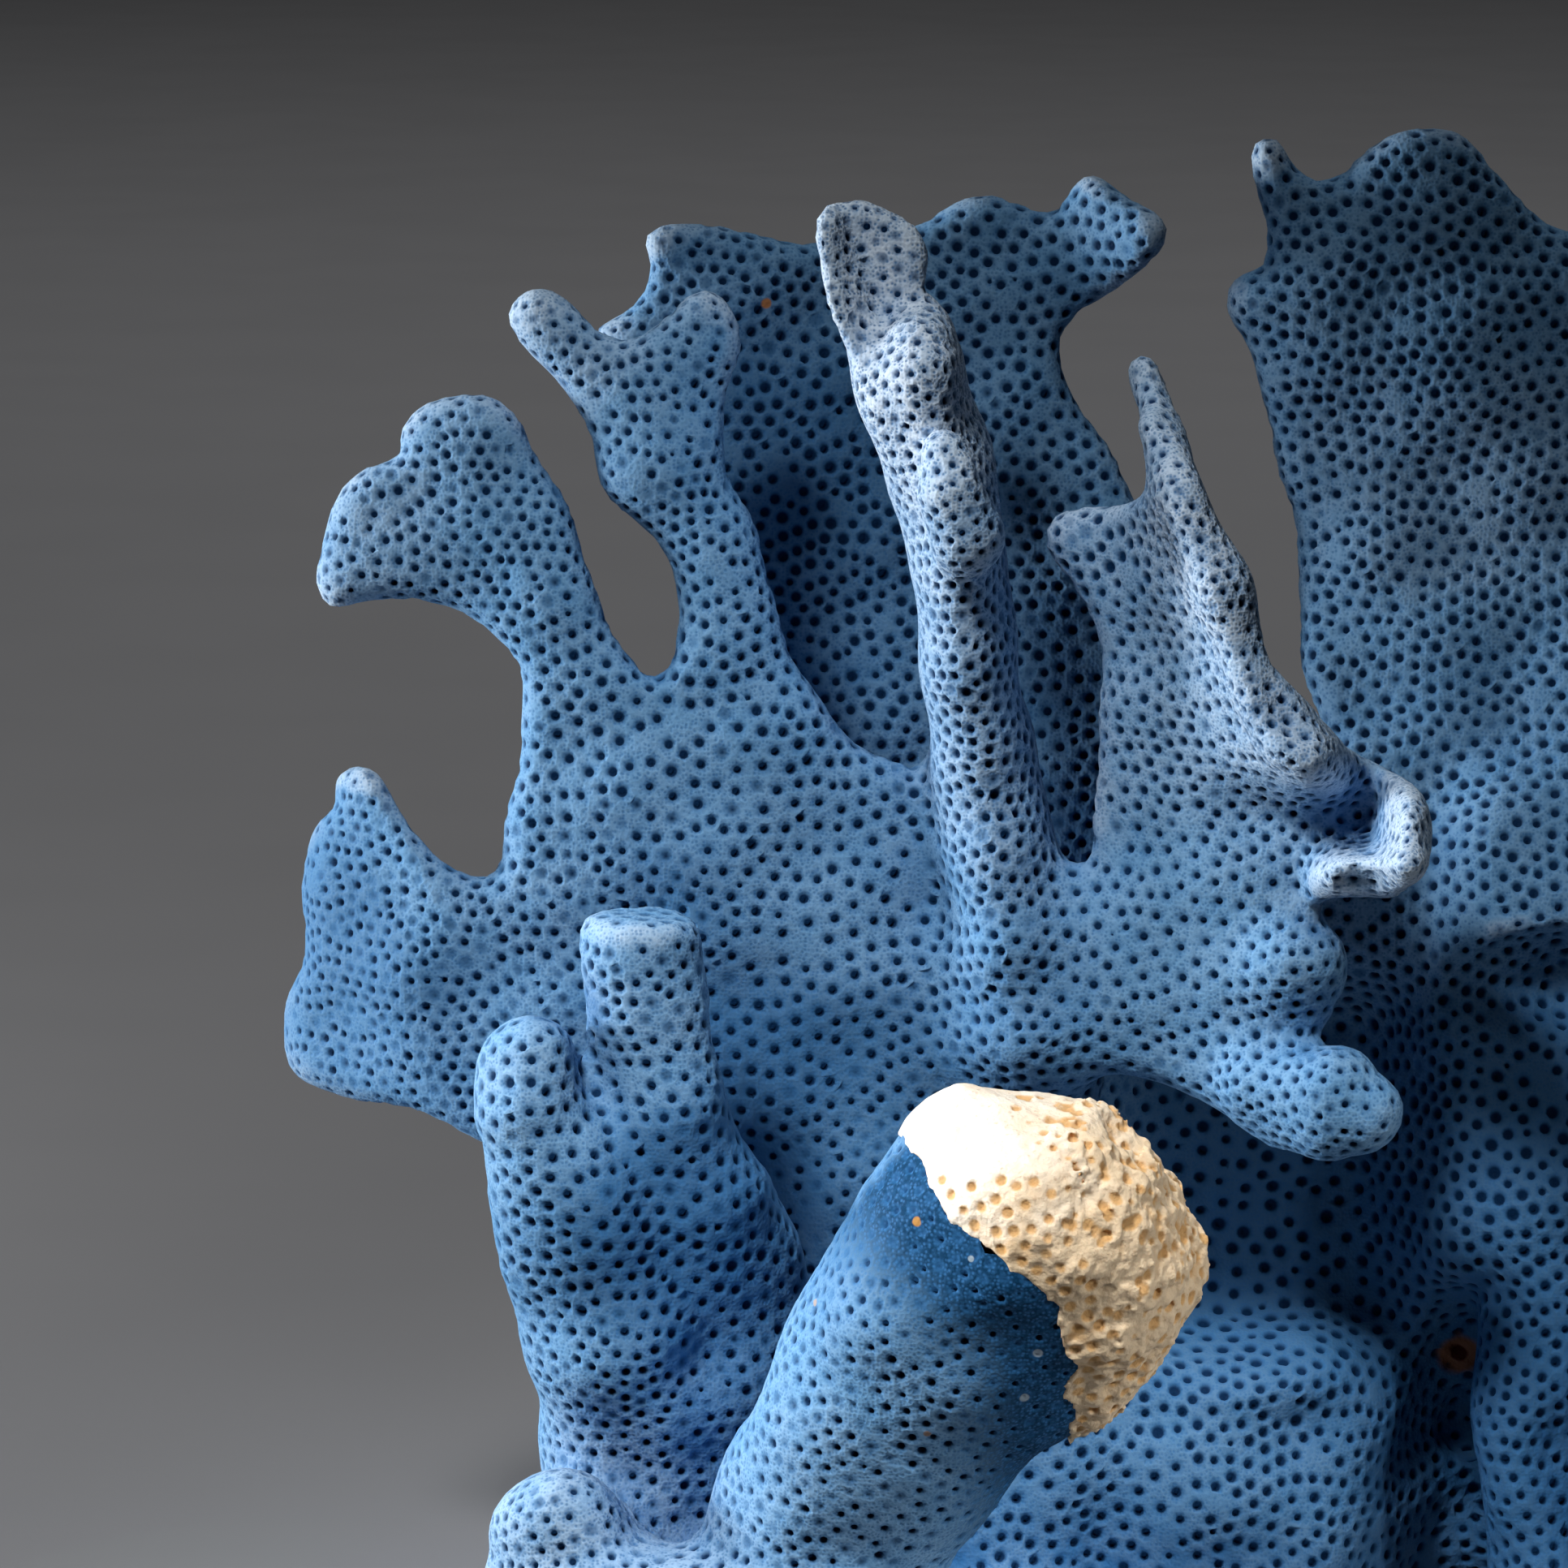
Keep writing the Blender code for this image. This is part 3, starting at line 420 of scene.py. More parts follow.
REAR_OUTLINE = [
    (-12.6, 82.9), (-11, 84), (-9.8, 85.2), (-9.2, 87.2), (-9.4, 89.1), (-8, 90.1), (-5, 90),
    (-2, 89.2), (1, 88.6), (4.5, 88.9), (7.5, 89.2), (9.6, 90), (11.5, 91.3), (13.5, 91.9),
    (16, 91.3), (18, 90.8), (19.3, 92.1), (20.6, 93), (22.5, 92.2), (25, 90.9), (25.6, 89.3),
    (24.5, 87.2), (22.5, 85.2), (20, 84.1), (18.4, 82.3), (18.5, 80), (20.4, 77.1), (22.3, 74),
    (24, 70), (25.5, 64), (27, 56), (29, 45), (31, 25), (31, -20), (-9, -20), (-9, 20), (-7.5, 42),
    (-5.5, 56), (-5.3, 66), (-6.2, 73), (-8, 78.5), (-10.8, 81.4),
]
FAN_OUTLINE = [
    (10.9, 46), (15, 48), (19.6, 47.3), (20.2, 50), (20.7, 53), (21.3, 56), (21.5, 59),
    (21.2, 61.5), (20.4, 64.2), (19, 66.5), (18, 68.2), (18.2, 69.7), (19.7, 70.6), (21.8, 71.2),
    (23.7, 71.9), (24.1, 73.5), (23.8, 76), (23.3, 78.8), (23.2, 80.4), (24.1, 81.1), (25, 80.3),
    (25.8, 78.5), (27, 76), (27.9, 73), (28.6, 70.5), (29.6, 68), (30.8, 65.6), (31.8, 62.9),
    (32.6, 60.8), (33.9, 59.5), (35.2, 58.2), (36.2, 56.7), (37.5, 55.2), (39.4, 54.2),
    (41.3, 53.2), (42.8, 51.5), (43.1, 49), (42.7, 46.8), (41, 45.3), (38.5, 44.9), (36.3, 44.6),
    (35.8, 43.5), (36.8, 41.5), (37, 39.5), (36.3, 37.5), (35.4, 35.8), (34.5, 32), (33, 28.6),
    (31, 29.4), (28.5, 30.7), (26, 32.2), (24, 33), (21.5, 33.5), (18, 32.5), (13, 31), (11, 36),
]
RIGHT_OUTLINE = [
    (37.3, 55), (36.3, 56.6), (35.1, 60), (34.5, 63.4), (34.2, 67.6), (33.9, 71), (33, 75.2),
    (31.9, 79), (30.9, 81.9), (30, 84), (30.2, 85.5), (31.2, 86.2), (32.4, 86.7), (32.7, 88.3),
    (32.2, 90.8), (31.5, 93), (31.3, 94.8), (32, 95.7), (33.2, 95.6), (34.3, 94.1), (35.6, 93.3),
    (37.2, 93.5), (38.5, 94.6), (40.4, 95.7), (42.5, 96.2), (44.8, 96.1), (46.5, 95.1), (48, 93.3),
    (49.6, 91.5), (51, 90.2), (53, 89.5), (55.6, 89.1), (57.6, 87.2), (58.6, 84), (60.4, 82),
    (63, 82.6), (65.4, 83.4), (67.6, 82), (68.4, 78.5), (68.6, 74), (70, 70.5), (72.6, 69.2),
    (74.8, 66.8), (75.2, 63), (73.2, 59.8), (71.5, 56), (71, 50), (69.5, 44), (66.5, 38),
    (64.5, 30), (63.5, 15), (62.5, -20), (8, -20), (8, 20), (10, 38), (22, 45), (33, 49.5),
]
SPOON_OUTLINE = [
    (2.4, 88), (2.5, 90), (3.4, 91.1), (5.2, 91.3), (7, 90.8), (8.8, 89.9), (9.5, 88), (9.5, 85.6),
    (10.9, 83.4), (11.4, 78), (9, 74), (6.8, 76), (5.4, 79.8), (4, 82), (2.9, 84.6),
]

BLADES = [
    Blade(LEFT_LOWER_LOBE + LEFT_MIDDLE_LOBE + LEFT_UPPER_LOBE + LEFT_FOOT, left_depth),
    Blade(REAR_OUTLINE, rear_depth),
    Blade(RIGHT_OUTLINE, right_depth, swell=1.8),
    Blade(FAN_OUTLINE, fan_depth, rim=1.2, swell=1.2, blend=2.4),
    Blade(SPOON_OUTLINE, spoon_depth, rim=0.9, swell=0.6, blend=1.6),
]

# Fingers and thick forms, each through (across, up, depth, radius) places

FOOT = [
    Finger([(-8, -11, -12, 11), (12, -14, -8, 12), (34, -14, 3, 12), (52, -12, 8, 11)], blend=4),
    Finger([(-4, -6, 8, 11), (14, 6, 10, 10), (34, 8, 14, 9)], blend=5),
    Finger([(34, 10, 19, 9), (44, 13, 21, 9), (54, 10, 19, 9)], blend=4),
    Finger([(32, -6, 19, 12), (54, -6, 18, 12)], blend=4),
    Finger([(-4, 8, 8, 8), (6, 26, 8, 8), (20, 30, 13, 7), (40, 30, 18, 6)], blend=4),
]
CENTRE_FIN = [
    Finger(
        [
            (16, 36, 0, 4.6), (14.6, 47, -1.5, 3.9), (13.3, 54, -2.8, 3.5), (12.4, 60, -3.6, 3.2),
            (11.8, 66, -4.4, 3.2), (11.1, 71, -4.8, 3.4), (9.9, 76, -5, 3.5), (8.9, 80, -5, 3.4),
            (8.9, 81.6, -5.2, 2.7),
        ],
        drawn_out=1.7,
        blend=2.2,
    ),
    Finger(
        [(10.7, 74.7, -11.8, 1.5), (11.0, 72.0, -12.2, 2.0), (12.2, 69.3, -11.4, 2.4)],
        blend=1.0,
    ),
]
FAN_RIDGE = [
    Finger(
        [
            (24.4, 76.4, -9.4, 0.8), (25.4, 74, -10.4, 0.9), (26.9, 70.5, -11.9, 1),
            (28.8, 65.5, -14, 1.1), (30.5, 60.8, -15.5, 1.2), (31.8, 57, -16.2, 1.2),
            (33.4, 55, -16.6, 1.3), (35.1, 54.1, -16.8, 1.3),
        ],
        drawn_out=1.8,
        blend=1.6,
    ),
    Finger([(32, 32, -9.5, 2.8), (36.9, 31.2, -11.8, 3.7), (38.9, 30.5, -12.4, 2.9)], blend=2.5),
    Finger([(34, 39.4, -9.4, 2.2), (34.4, 40.2, -9.6, 2.2)], blend=3.0),
]
FRONT_FINGERS = [
    Finger(
        [
            (-17.3, 33.9, -17, 3.4), (-16.6, 30, -17, 4.2), (-14.1, 24, -16, 5.2),
            (-10.9, 15, -13.5, 6.3), (-9.6, 8, -11, 6.6), (-8, -8, -8, 8),
        ],
        blend=2.0,
    ),
    Finger(
        [
            (-9.3, 43.5, -15.5, 3.9), (-9, 36, -15.5, 4), (-8, 30, -15, 4.7),
            (-6.3, 24, -13.5, 5.8), (-4.6, 15, -10.5, 7.2), (-3.5, 5, -9, 7.8),
        ],
        drawn_out=0.85,
        blend=2.0,
        flat_top=(43.6, -15.5),
    ),
    Finger([(-14.8, 1.9, -20, 5), (-13, -9, -17, 9)], blend=3.0),
    Finger([(-13, -5, -20, 6), (-6, -5, -22, 6.6), (2, -5, -21, 8)], blend=2.5),
]
BROKEN_FINGER = [
    Finger(
        [
            (1.5, -3, -18, 8.2), (4.4, 5.2, -23, 8.2), (8.2, 11.4, -26, 9.2), (12, 16.2, -28, 10.2),
            (16.2, 20.8, -29.5, 10.7),
        ],
        drawn_out=0.82,
        blend=2.5,
    ),
    Finger([(4.6, 17.2, -26, 3), (7.7, 24, -28.5, 3.3), (10.2, 26.6, -29.2, 3.2)], blend=2.5),
]
BACK_RIDGES = [
    Finger([(2, -14, 22, 5), (3, 25, 24, 3.6), (1, 50, 23, 2.4), (2, 58, 20, 1.6)], 2.6),
    Finger([(3, 20, 32, 2.6), (5, 40, 33, 2.2), (6, 49, 32, 1.8)], 1.8),
    Finger([(52, -12, 18, 5), (53, 25, 21, 3.6), (50, 52, 22, 2.6), (48, 66, 21, 1.8)], 2.4),
    Finger([(54, 20, 29, 2.6), (56, 36, 30, 2.2), (57, 44, 29, 1.8)], 1.8),
    Finger([(-10, -14, 10, 6), (-11, 18, 13, 4.4), (-12, 34, 14, 3), (-13, 40, 13, 2.4)], 1.4),
    Finger([(26, -12, 26, 6), (27, 12, 28, 4.6), (28, 26, 27, 3.2), (29, 32, 26, 2.4)], 1.2),
]
RIGHT_END = [
    Finger([(60, -12, -2, 7), (62, 10, -3, 5), (63, 26, -3, 3.8), (66, 36, -3, 2.8)], blend=4),
]
THICK_FORMS = (
    BROKEN_FINGER + FOOT + CENTRE_FIN + FAN_RIDGE + FRONT_FINGERS + BACK_RIDGES + RIGHT_END
)

# Hollows, taken out of the wall: a pocket under the right blade, the arch at the foot and the
# small hole inside it
HOLLOWS = [
    Finger([(47.6, 38.2, 0, 2.2), (52, 39, 0.2, 3.2), (57, 38.4, 0, 2.8)], 1.5, blend=1.6),
    Finger(
        [
            (45.2, 13.3, -3.5, 6.2), (45.2, 6, -3.5, 6.4), (45.8, -8, -3.5, 7.5),
            (46, -22, -3.5, 7.5),
        ],
        drawn_out=2.0,
        blend=1.4,
    ),
    Finger([(45.5, 11.2, 9, 0.7), (45.4, 9.4, 9.5, 1.2)], drawn_out=1.6, blend=0.8),
]

# The pillar that stands in front of the arch's right side
PILLAR = [
    Finger(
        [
            (49.4, 20, 4.6, 2.6), (49.2, 15.5, 2.6, 3), (49.2, 8, 1.8, 3), (50, 3, 1.8, 3.2),
            (51.6, -3, 2, 3.6), (53, -14, 3, 4),
        ],
        drawn_out=1.4,
        blend=1.2,
    ),
]

# The edge of the white crust on the broken end, then round outside it
WHITE_PART = [
    (8.2, 28.6), (9.6, 27), (9.9, 25.4), (11.4, 23.2), (13, 21.8), (14.2, 20.5), (16.3, 19.6),
    (17.6, 18.3), (18.6, 17), (18.7, 15), (19.4, 13.4), (19, 12), (19.2, 9.6), (19, 3), (40, 3),
    (40, 45), (5, 45), (5, 31),
]
WHITE_MAP = FlatMap(np.array(WHITE_PART, float))
WHITE_BACK = -14.0


def places_within(axes, shape):
    """The part of the grid near a shape, as slices and as places of the view there."""
    corners = [
        world_of(across, up, depth)
        for across in (shape.low[0], shape.high[0])
        for up in (shape.low[1], shape.high[1])
        for depth in (shape.low[2], shape.high[2])
    ]
    low, high = np.min(corners, axis=0), np.max(corners, axis=0)
    near = tuple(
        slice(int(np.searchsorted(axis, a)), int(np.searchsorted(axis, b)))
        for axis, a, b in zip(axes, low, high)
    )
    x, y, z = np.meshgrid(*(axis[part] for axis, part in zip(axes, near)), indexing="ij")
    across, up = view_of(x, y, z)
    return near, (across, up, y - VIEW_TARGET[1])


def coral_field(axes):
    """The distance to the coral's surface, negative inside it, at the grid's points."""
    field = np.full([len(axis) for axis in axes], FAR)
    for shapes, side in ((BLADES + THICK_FORMS, 1.0), (HOLLOWS, -1.0), (PILLAR, 1.0)):
        for shape in shapes:
            near, places = places_within(axes, shape)
            field[near] = side * fused(side * field[near], shape.distance(*places), shape.blend)
    return field


def undulation(x, y, z):
    """Gentle lumps all over the surface, from waves that run in different directions."""
    total = np.zeros(np.broadcast(x, y, z).shape)
    for wave in range(WAVES):
        tip = (2 * wave + 1) / WAVES - 1
        turn = 2.4 * wave
        flat = math.sqrt(1 - tip * tip)
        length = UNDULATION_WAVE * (0.7 + 0.08 * (wave * 5 % WAVES))
        run = flat * (x * math.cos(turn) + y * math.sin(turn)) + z * tip
        total += np.sin(2.0 * math.pi * run / length + 1.3 * wave)
    return UNDULATION * total / math.sqrt(WAVES)


def pinching_patterns():
    """Which of the 256 patterns of inside corners of a cell have parts that only touch."""

    def parted(chosen):
        reached, ahead = set(), chosen[:1]
        while ahead:
            corner = ahead.pop()
            reached.add(corner)
            near = (corner ^ 1, corner ^ 2, corner ^ 4)
            ahead += [other for other in near if other in chosen and other not in reached]
        return len(reached) < len(chosen)

    pinching = []
    for pattern in range(256):
        inner = [corner for corner in range(8) if pattern >> corner & 1]
        outer = [corner for corner in range(8) if corner not in inner]
        pinching.append(parted(inner) or parted(outer))
    return np.array(pinching)


def patterns_of(field):
    """The pattern of inside corners of every cell of the grid."""
    inside = field < 0
    end = np.array(field.shape) - 1
    return sum(
        inside[i : i + end[0], j : j + end[1], k : k + end[2]].astype(np.int16) << corner
        for corner, (i, j, k) in enumerate(CORNERS)
    )


def without_pinches(field):
    """Fills the cells where the surface would touch itself, corner by corner."""
    pinching = pinching_patterns()
    field = field.copy()
    while True:
        cells = np.argwhere(pinching[patterns_of(field)])
        if not len(cells):
            return field
        around = cells[:, None, :] + CORNERS[None, :, :]
        values = field[tuple(around.transpose(2, 0, 1))]
        least = np.where(values < 0, FAR, values).argmin(axis=1)
        field[tuple(around[np.arange(len(cells)), least].T)] = FILLED


def surface_net(field, axes):
    """Points and quads of the surface where the field is zero: a point in each crossed cell."""
    field = without_pinches(field)
    inside = field < 0
    shape = np.array(field.shape) - 1
    patterns = patterns_of(field)
    cells = np.argwhere((patterns > 0) & (patterns < 255))
    number = np.full(shape, -1, np.int32)
    number[tuple(cells.T)] = np.arange(len(cells))
    points, crossings = np.zeros((len(cells), 3)), np.zeros(len(cells))
    for corner in CORNERS:
        for axis in range(3):
            if corner[axis]:
                continue
            end = corner.copy()
            end[axis] = 1
            a = field[tuple((cells + corner).T)]
            b = field[tuple((cells + end).T)]
            crossed = (a < 0) != (b < 0)
            t = np.where(crossed, a / np.where(crossed, a - b, 1.0), 0.0)
            place = corner + t[:, None] * (end - corner)
            points += np.where(crossed[:, None], place, 0.0)
            crossings += crossed
    points = cells + points / crossings[:, None]
    quads = []
    for axis in range(3):
        b, c = (axis + 1) % 3, (axis + 2) % 3
        first = np.moveaxis(inside, axis, 0)
        starts = np.argwhere(np.moveaxis(first[1:] != first[:-1], 0, axis))
        starts = starts[(starts[:, b] > 0) & (starts[:, c] > 0)]
        starts = starts[(starts[:, b] < shape[b]) & (starts[:, c] < shape[c])]
        around = []
        for step_b, step_c in ((1, 1), (0, 1), (0, 0), (1, 0)):
            cell = starts.copy()
            cell[:, b] -= step_b
            cell[:, c] -= step_c
            around.append(number[tuple(cell.T)])
        quad = np.stack(around, axis=1)
        outward = inside[tuple(starts.T)]
        quads.append(np.where(outward[:, None], quad, quad[:, ::-1]))
    origin = np.array([axis[0] for axis in axes])
    spacing = np.array([axis[1] - axis[0] for axis in axes])
    return origin + points * spacing, np.concatenate(quads)


def halved(quads):
    """Two triangles from each quad."""
    return np.concatenate([quads[:, [0, 1, 2]], quads[:, [0, 2, 3]]])


def largest_body(points, quads):
    """The biggest connected part of a mesh."""
    label = np.arange(len(points))
    while True:
        lowest = label[quads].min(axis=1)
        new = label.copy()
        np.minimum.at(new, quads, lowest[:, None])
        new = new[new]
        if (new == label).all():
            break
        label = new
    names, sizes = np.unique(label[quads[:, 0]], return_counts=True)
    keep = label == names[sizes.argmax()]
    renumber = np.cumsum(keep) - 1
    return points[keep], renumber[quads[keep[quads[:, 0]]]]


class Sampled:
    """A field of distances on its grid, read between the grid's points, with its slope."""

    def __init__(self, axes, field):
        self.low = np.array([axis[0] for axis in axes])
        self.cell = axes[0][1] - axes[0][0]
        self.field = field
        self.slopes = np.gradient(field, self.cell)

    def read(self, values, points):
        top = np.array(values.shape) - 1.001
        place = np.clip((points - self.low) / self.cell, 0, top)
        first = place.astype(np.int32)
        share = place - first
        total = np.zeros(len(points))
        for corner in CORNERS:
            weight = np.where(corner, share, 1 - share).prod(axis=1)
            total += weight * values[tuple((first + corner).T)]
        return total

    def distance(self, points):
        return self.read(self.field, points)

    def slope(self, points):
        return np.stack([self.read(slope, points) for slope in self.slopes], axis=1)

    def outward(self, points):
        return unit(self.slope(points))

    def settled(self, points, level=0.0, rounds=4):
        """The points, moved along the slope to where the distance is the level."""
        for _ in range(rounds):
            slope = self.slope(points)
            off = self.distance(points) - level
            points = points - slope * (off / (slope**2).sum(axis=1))[:, None]
        return points


def unit(vectors):
    return vectors / np.linalg.norm(vectors, axis=1, keepdims=True)


# The layout of the cells: each pore, or blank bit of skin, has a cell of the surface


def tree_of(points):
    tree = kdtree.KDTree(len(points))
    for number, point in enumerate(points.tolist()):
        tree.insert(point, number)
    tree.balance()
    return tree


def scattered(points, spacing, tree, chance):
    """A random choice of the points, with none closer together than its spacing."""
    places, reach = points.tolist(), spacing.tolist()
    free = [True] * len(places)
    chosen = []
    for number in chance.permutation(len(places)).tolist():
        if free[number]:
            chosen.append(number)
            for _, other, _ in tree.find_range(places[number], reach[number]):
                free[other] = False
    return np.array(chosen)


def owners(points, ends, centres, tree):
    """For each point, the nearest of the centres that reach it over the surface."""
    owner = np.full(len(points), -1)
    gap = np.full(len(points), np.inf)
    for number, centre in enumerate(centres.tolist()):
        _, start, away = tree.find(centre)
        if away < gap[start]:
            owner[start], gap[start] = number, away
    ahead = owner >= 0
    while ahead.any():
        source, target = ends[ahead[ends[:, 0]]].T
        away = np.linalg.norm(points[target] - centres[owner[source]], axis=1)
        nearer = away < gap[target] - 1e-9
        source, target, away = source[nearer], target[nearer], away[nearer]
        order = np.lexsort((away, target))
        target, first = np.unique(target[order], return_index=True)
        ahead[:] = False
        ahead[target] = True
        owner[target] = owner[source[order[first]]]
        gap[target] = away[order[first]]
    return owner


class Borders:
    """The cells' borders, from the triangles whose points belong to three cells.

    Each such triangle is a corner. A side is the meeting of a cell with one neighbour: it has
    its cell, its start and end corner and the side that follows it around the cell.
    """

    def __init__(self, owner, triangles):
        cells = owner[triangles]
        self.corners = cells[(cells != np.roll(cells, 1, axis=1)).all(axis=1)]
        cell = self.corners.ravel()
        other = np.roll(self.corners, -1, axis=1).ravel()
        third = np.roll(self.corners, -2, axis=1).ravel()
        count = owner.max() + 1
        order = np.argsort(cell * count + other, kind="stable")
        cell, other, third = cell[order], other[order], third[order]
        self.cell, self.end = cell, order // 3
        self.code = cell * count + other
        last = len(self.code) - 1
        back = np.minimum(np.searchsorted(self.code, other * count + cell), last)
        self.start = self.end[back]
        self.following = np.minimum(np.searchsorted(self.code, cell * count + third), last)

    def faulty(self):
        """The cells whose border isn't one simple ring."""
        twice = np.concatenate([[False], self.code[1:] == self.code[:-1]])
        sides = np.bincount(self.cell)
        first = np.concatenate([[0], np.cumsum(sides)])[:-1]
        here, length = self.following[first], np.ones(len(first), int)
        for _ in range(int(sides.max())):
            away = here != first
            length += away
            here = np.where(away, self.following[here], here)
        ringless = np.flatnonzero((length != sides) | (sides < 3))
        return np.union1d(self.cell[twice], ringless)


def laid_out(skin, points, quads, spacing, chance):
    """The middles of the cells, evenly spread over the surface, and the cells' borders."""
    triangles = halved(quads)
    ends = np.concatenate([triangles[:, [0, 1]], triangles[:, [1, 2]], triangles[:, [2, 0]]])
    ends = np.unique(np.concatenate([ends, ends[:, ::-1]]), axis=0)
    tree = tree_of(points)
    centres = points[scattered(points, spacing, tree, chance)]
    for _ in range(EVENING_ROUNDS):
        owner = owners(points, ends, centres, tree)
        count = np.bincount(owner, minlength=len(centres))
        sums = [np.bincount(owner, side, minlength=len(centres)) for side in points.T]
        centres = skin.settled(np.stack(sums, axis=1) / count[:, None])
    while True:
        borders = Borders(owners(points, ends, centres, tree), triangles)
        faulty = borders.faulty()
        if not len(faulty):
            return centres, borders
        centres = np.delete(centres, faulty[::2], axis=0)


# The pores


def front_place(skin, across, up):
    """The place of the world where the view's line at (across, up) meets the coral."""
    depth = np.arange(BOX_LOW[1], BOX_HIGH[1], LINE_STEP)
    line = np.stack(world_of(np.full(len(depth), across), np.full(len(depth), up), depth), axis=1)
    return line[np.argmax(skin.distance(line) < 0)]


def traits_at(skin, points):
    """Pore spacing, pore radius, share of filled pores and frost, with its painted highlight and
    painted shade, around each point.
    """
    places = np.array([front_place(skin, *place[:2]) for place in SKIN_PLACES])
    weight = 1.0 / (((points[:, None] - places) ** 2).sum(axis=2) + TRAIT_REACH**2) ** 2
    traits = weight @ np.array([place[2:] for place in SKIN_PLACES])
    return (traits / weight.sum(axis=1)[:, None]).T


def edge_at(skin, points):
    """1 at sharp rims and tips, where the surface curves away all around, and 0 elsewhere."""
    ways = unit(2.0 * np.concatenate([CORNERS - 0.5, np.eye(3), -np.eye(3)]))
    rise = sum(skin.distance(points + EDGE_REACH * way) for way in ways) / len(ways)
    return step(*EDGE_RISES, rise / EDGE_REACH)


def openness_at(skin, points, outward):
    """1 where nothing stands around the surface, falling to 0 in narrow recesses."""
    total = sum(
        np.clip(skin.distance(points + reach * outward) / reach, 0.0, 1.0)
        for reach in OPEN_REACHES
    )
    return total / len(OPEN_REACHES)


def white_distance(across, up, depth):
    """The distance to the part of the view that the white crust fills, negative inside it."""
    return np.maximum(-WHITE_MAP.read(WHITE_MAP.inside, across, up), depth - WHITE_BACK)


def bareness_at(points):
    """1 on the broken finger next to its white crust, falling to 0 away from it."""
    places = places_of(points)
    on_finger = (BROKEN_FINGER[0].distance(*places) < BARE_AWAY) & (places[2] < BARE_FRONT)
    return step(*BARE_REACHES, white_distance(*places)) * on_finger


def pored_mesh(skin, cover, centres, borders, chance):
    """Points, triangles, the cell of each triangle, the normals and marks of the points.

    The cells that lie well inside the cover, the white crust, are left out.
    """
    corners = skin.settled(centres[borders.corners].mean(axis=1), RIDGE_HEIGHT)
    outward = skin.outward(centres)
    cell, start, end, following = borders.cell, borders.start, borders.end, borders.following
    middle = 0.5 * (corners[start] + corners[end])
    room = np.full(len(centres), np.inf)
    np.minimum.at(room, cell, np.linalg.norm(middle - centres[cell], axis=1))
    _, radius, filled, frost_and_painted_shading = traits_at(skin, centres)
    edge, bare = edge_at(skin, centres), bareness_at(centres)
    radius = radius * (1.0 + PORE_SPREAD * chance.standard_normal(len(centres)))
    radius = radius * (PORE_SWELL - EDGE_NARROWING * edge) * (1.0 - BARE_NARROWING * bare)
    radius = np.minimum(radius, PORE_ROOM * room)
    luck = chance.random(len(centres))
    pored = (luck > BLANKS + EDGE_BLANKS * edge) & (centres[:, 2] > UNDERSIDE)
    shallow = chance.random(len(centres)) < filled + EDGE_FILLED * edge + BARE_FILLED * bare
    deep = np.where(shallow, FILLED_DEPTH, PORE_DEPTH * (1.0 - EDGE_LEVELLING * edge))
    bottom = np.where(shallow, chance.uniform(*FILLED_PITS, len(centres)), 1.0)

    def rim_towards(places):
        normal = outward[cell]
        away = places - centres[cell]
        away = away - (away * normal).sum(axis=1)[:, None] * normal
        return skin.settled(centres[cell] + radius[cell][:, None] * unit(away), -RIM_DROP, 3)

    def spread(values):
        around = values[borders.corners].mean(axis=1)
        return np.concatenate([around, values, values[cell], values[cell]])

    rim_start, rim_middle = rim_towards(corners[start]), rim_towards(middle)
    lean = unit(outward + PORE_LEAN * np.array([0.0, 0.0, 1.0]))
    tips = np.where(
        pored[:, None], centres - deep[:, None] * lean, centres + RIDGE_HEIGHT * outward
    )
    points = np.concatenate([corners, tips, rim_start, rim_middle])
    tip = len(corners) + cell
    at_start = len(corners) + len(centres) + np.arange(len(cell))
    at_middle = at_start + len(cell)
    at_end = at_start[following]
    seen = cover.distance(centres)[cell] > COVERED
    sides = pored[cell] & seen
    flat = ~pored[cell] & seen
    triangles = np.concatenate(
        [
            np.stack(corner, axis=1)[kept]
            for corner, kept in (
                ((start, end, at_middle), sides),
                ((start, at_middle, at_start), sides),
                ((end, at_end, at_middle), sides),
                ((at_start, at_middle, tip), sides),
                ((at_middle, at_end, tip), sides),
                ((start, end, tip), flat),
            )
        ]
    )
    owner = np.concatenate([cell[sides]] * 5 + [cell[flat]])
    rim_pit = np.minimum(RIM_PIT, 0.8 * bottom)[cell]
    pit = np.concatenate([np.zeros(len(corners)), np.where(pored, bottom, 0.0), rim_pit, rim_pit])
    marks = {
        "pit": pit,
        "open": spread(openness_at(skin, centres, outward)),
        "edge": spread(edge),
        "bare": spread(bare),
        "frost_and_painted_shading": spread(frost_and_painted_shading),
    }
    points[:, 2] = np.maximum(points[:, 2], 0.0)
    normals = normals_of(points, triangles)
    rims = slice(len(corners) + len(centres), None)
    normals[rims] = unit(normals[rims] + RIM_CALM * np.concatenate([outward[cell], outward[cell]]))
    return points, triangles, owner, normals, marks


def normals_of(points, triangles):
    a, b, c = points[triangles].transpose(1, 0, 2)
    faces = np.cross(b - a, c - a)
    total = np.zeros(points.shape)
    for corner in range(3):
        for side in range(3):
            total[:, side] += np.bincount(
                triangles[:, corner], faces[:, side], minlength=len(points)
            )
    length = np.linalg.norm(total, axis=1, keepdims=True)
    return total / np.maximum(length, 1e-12)


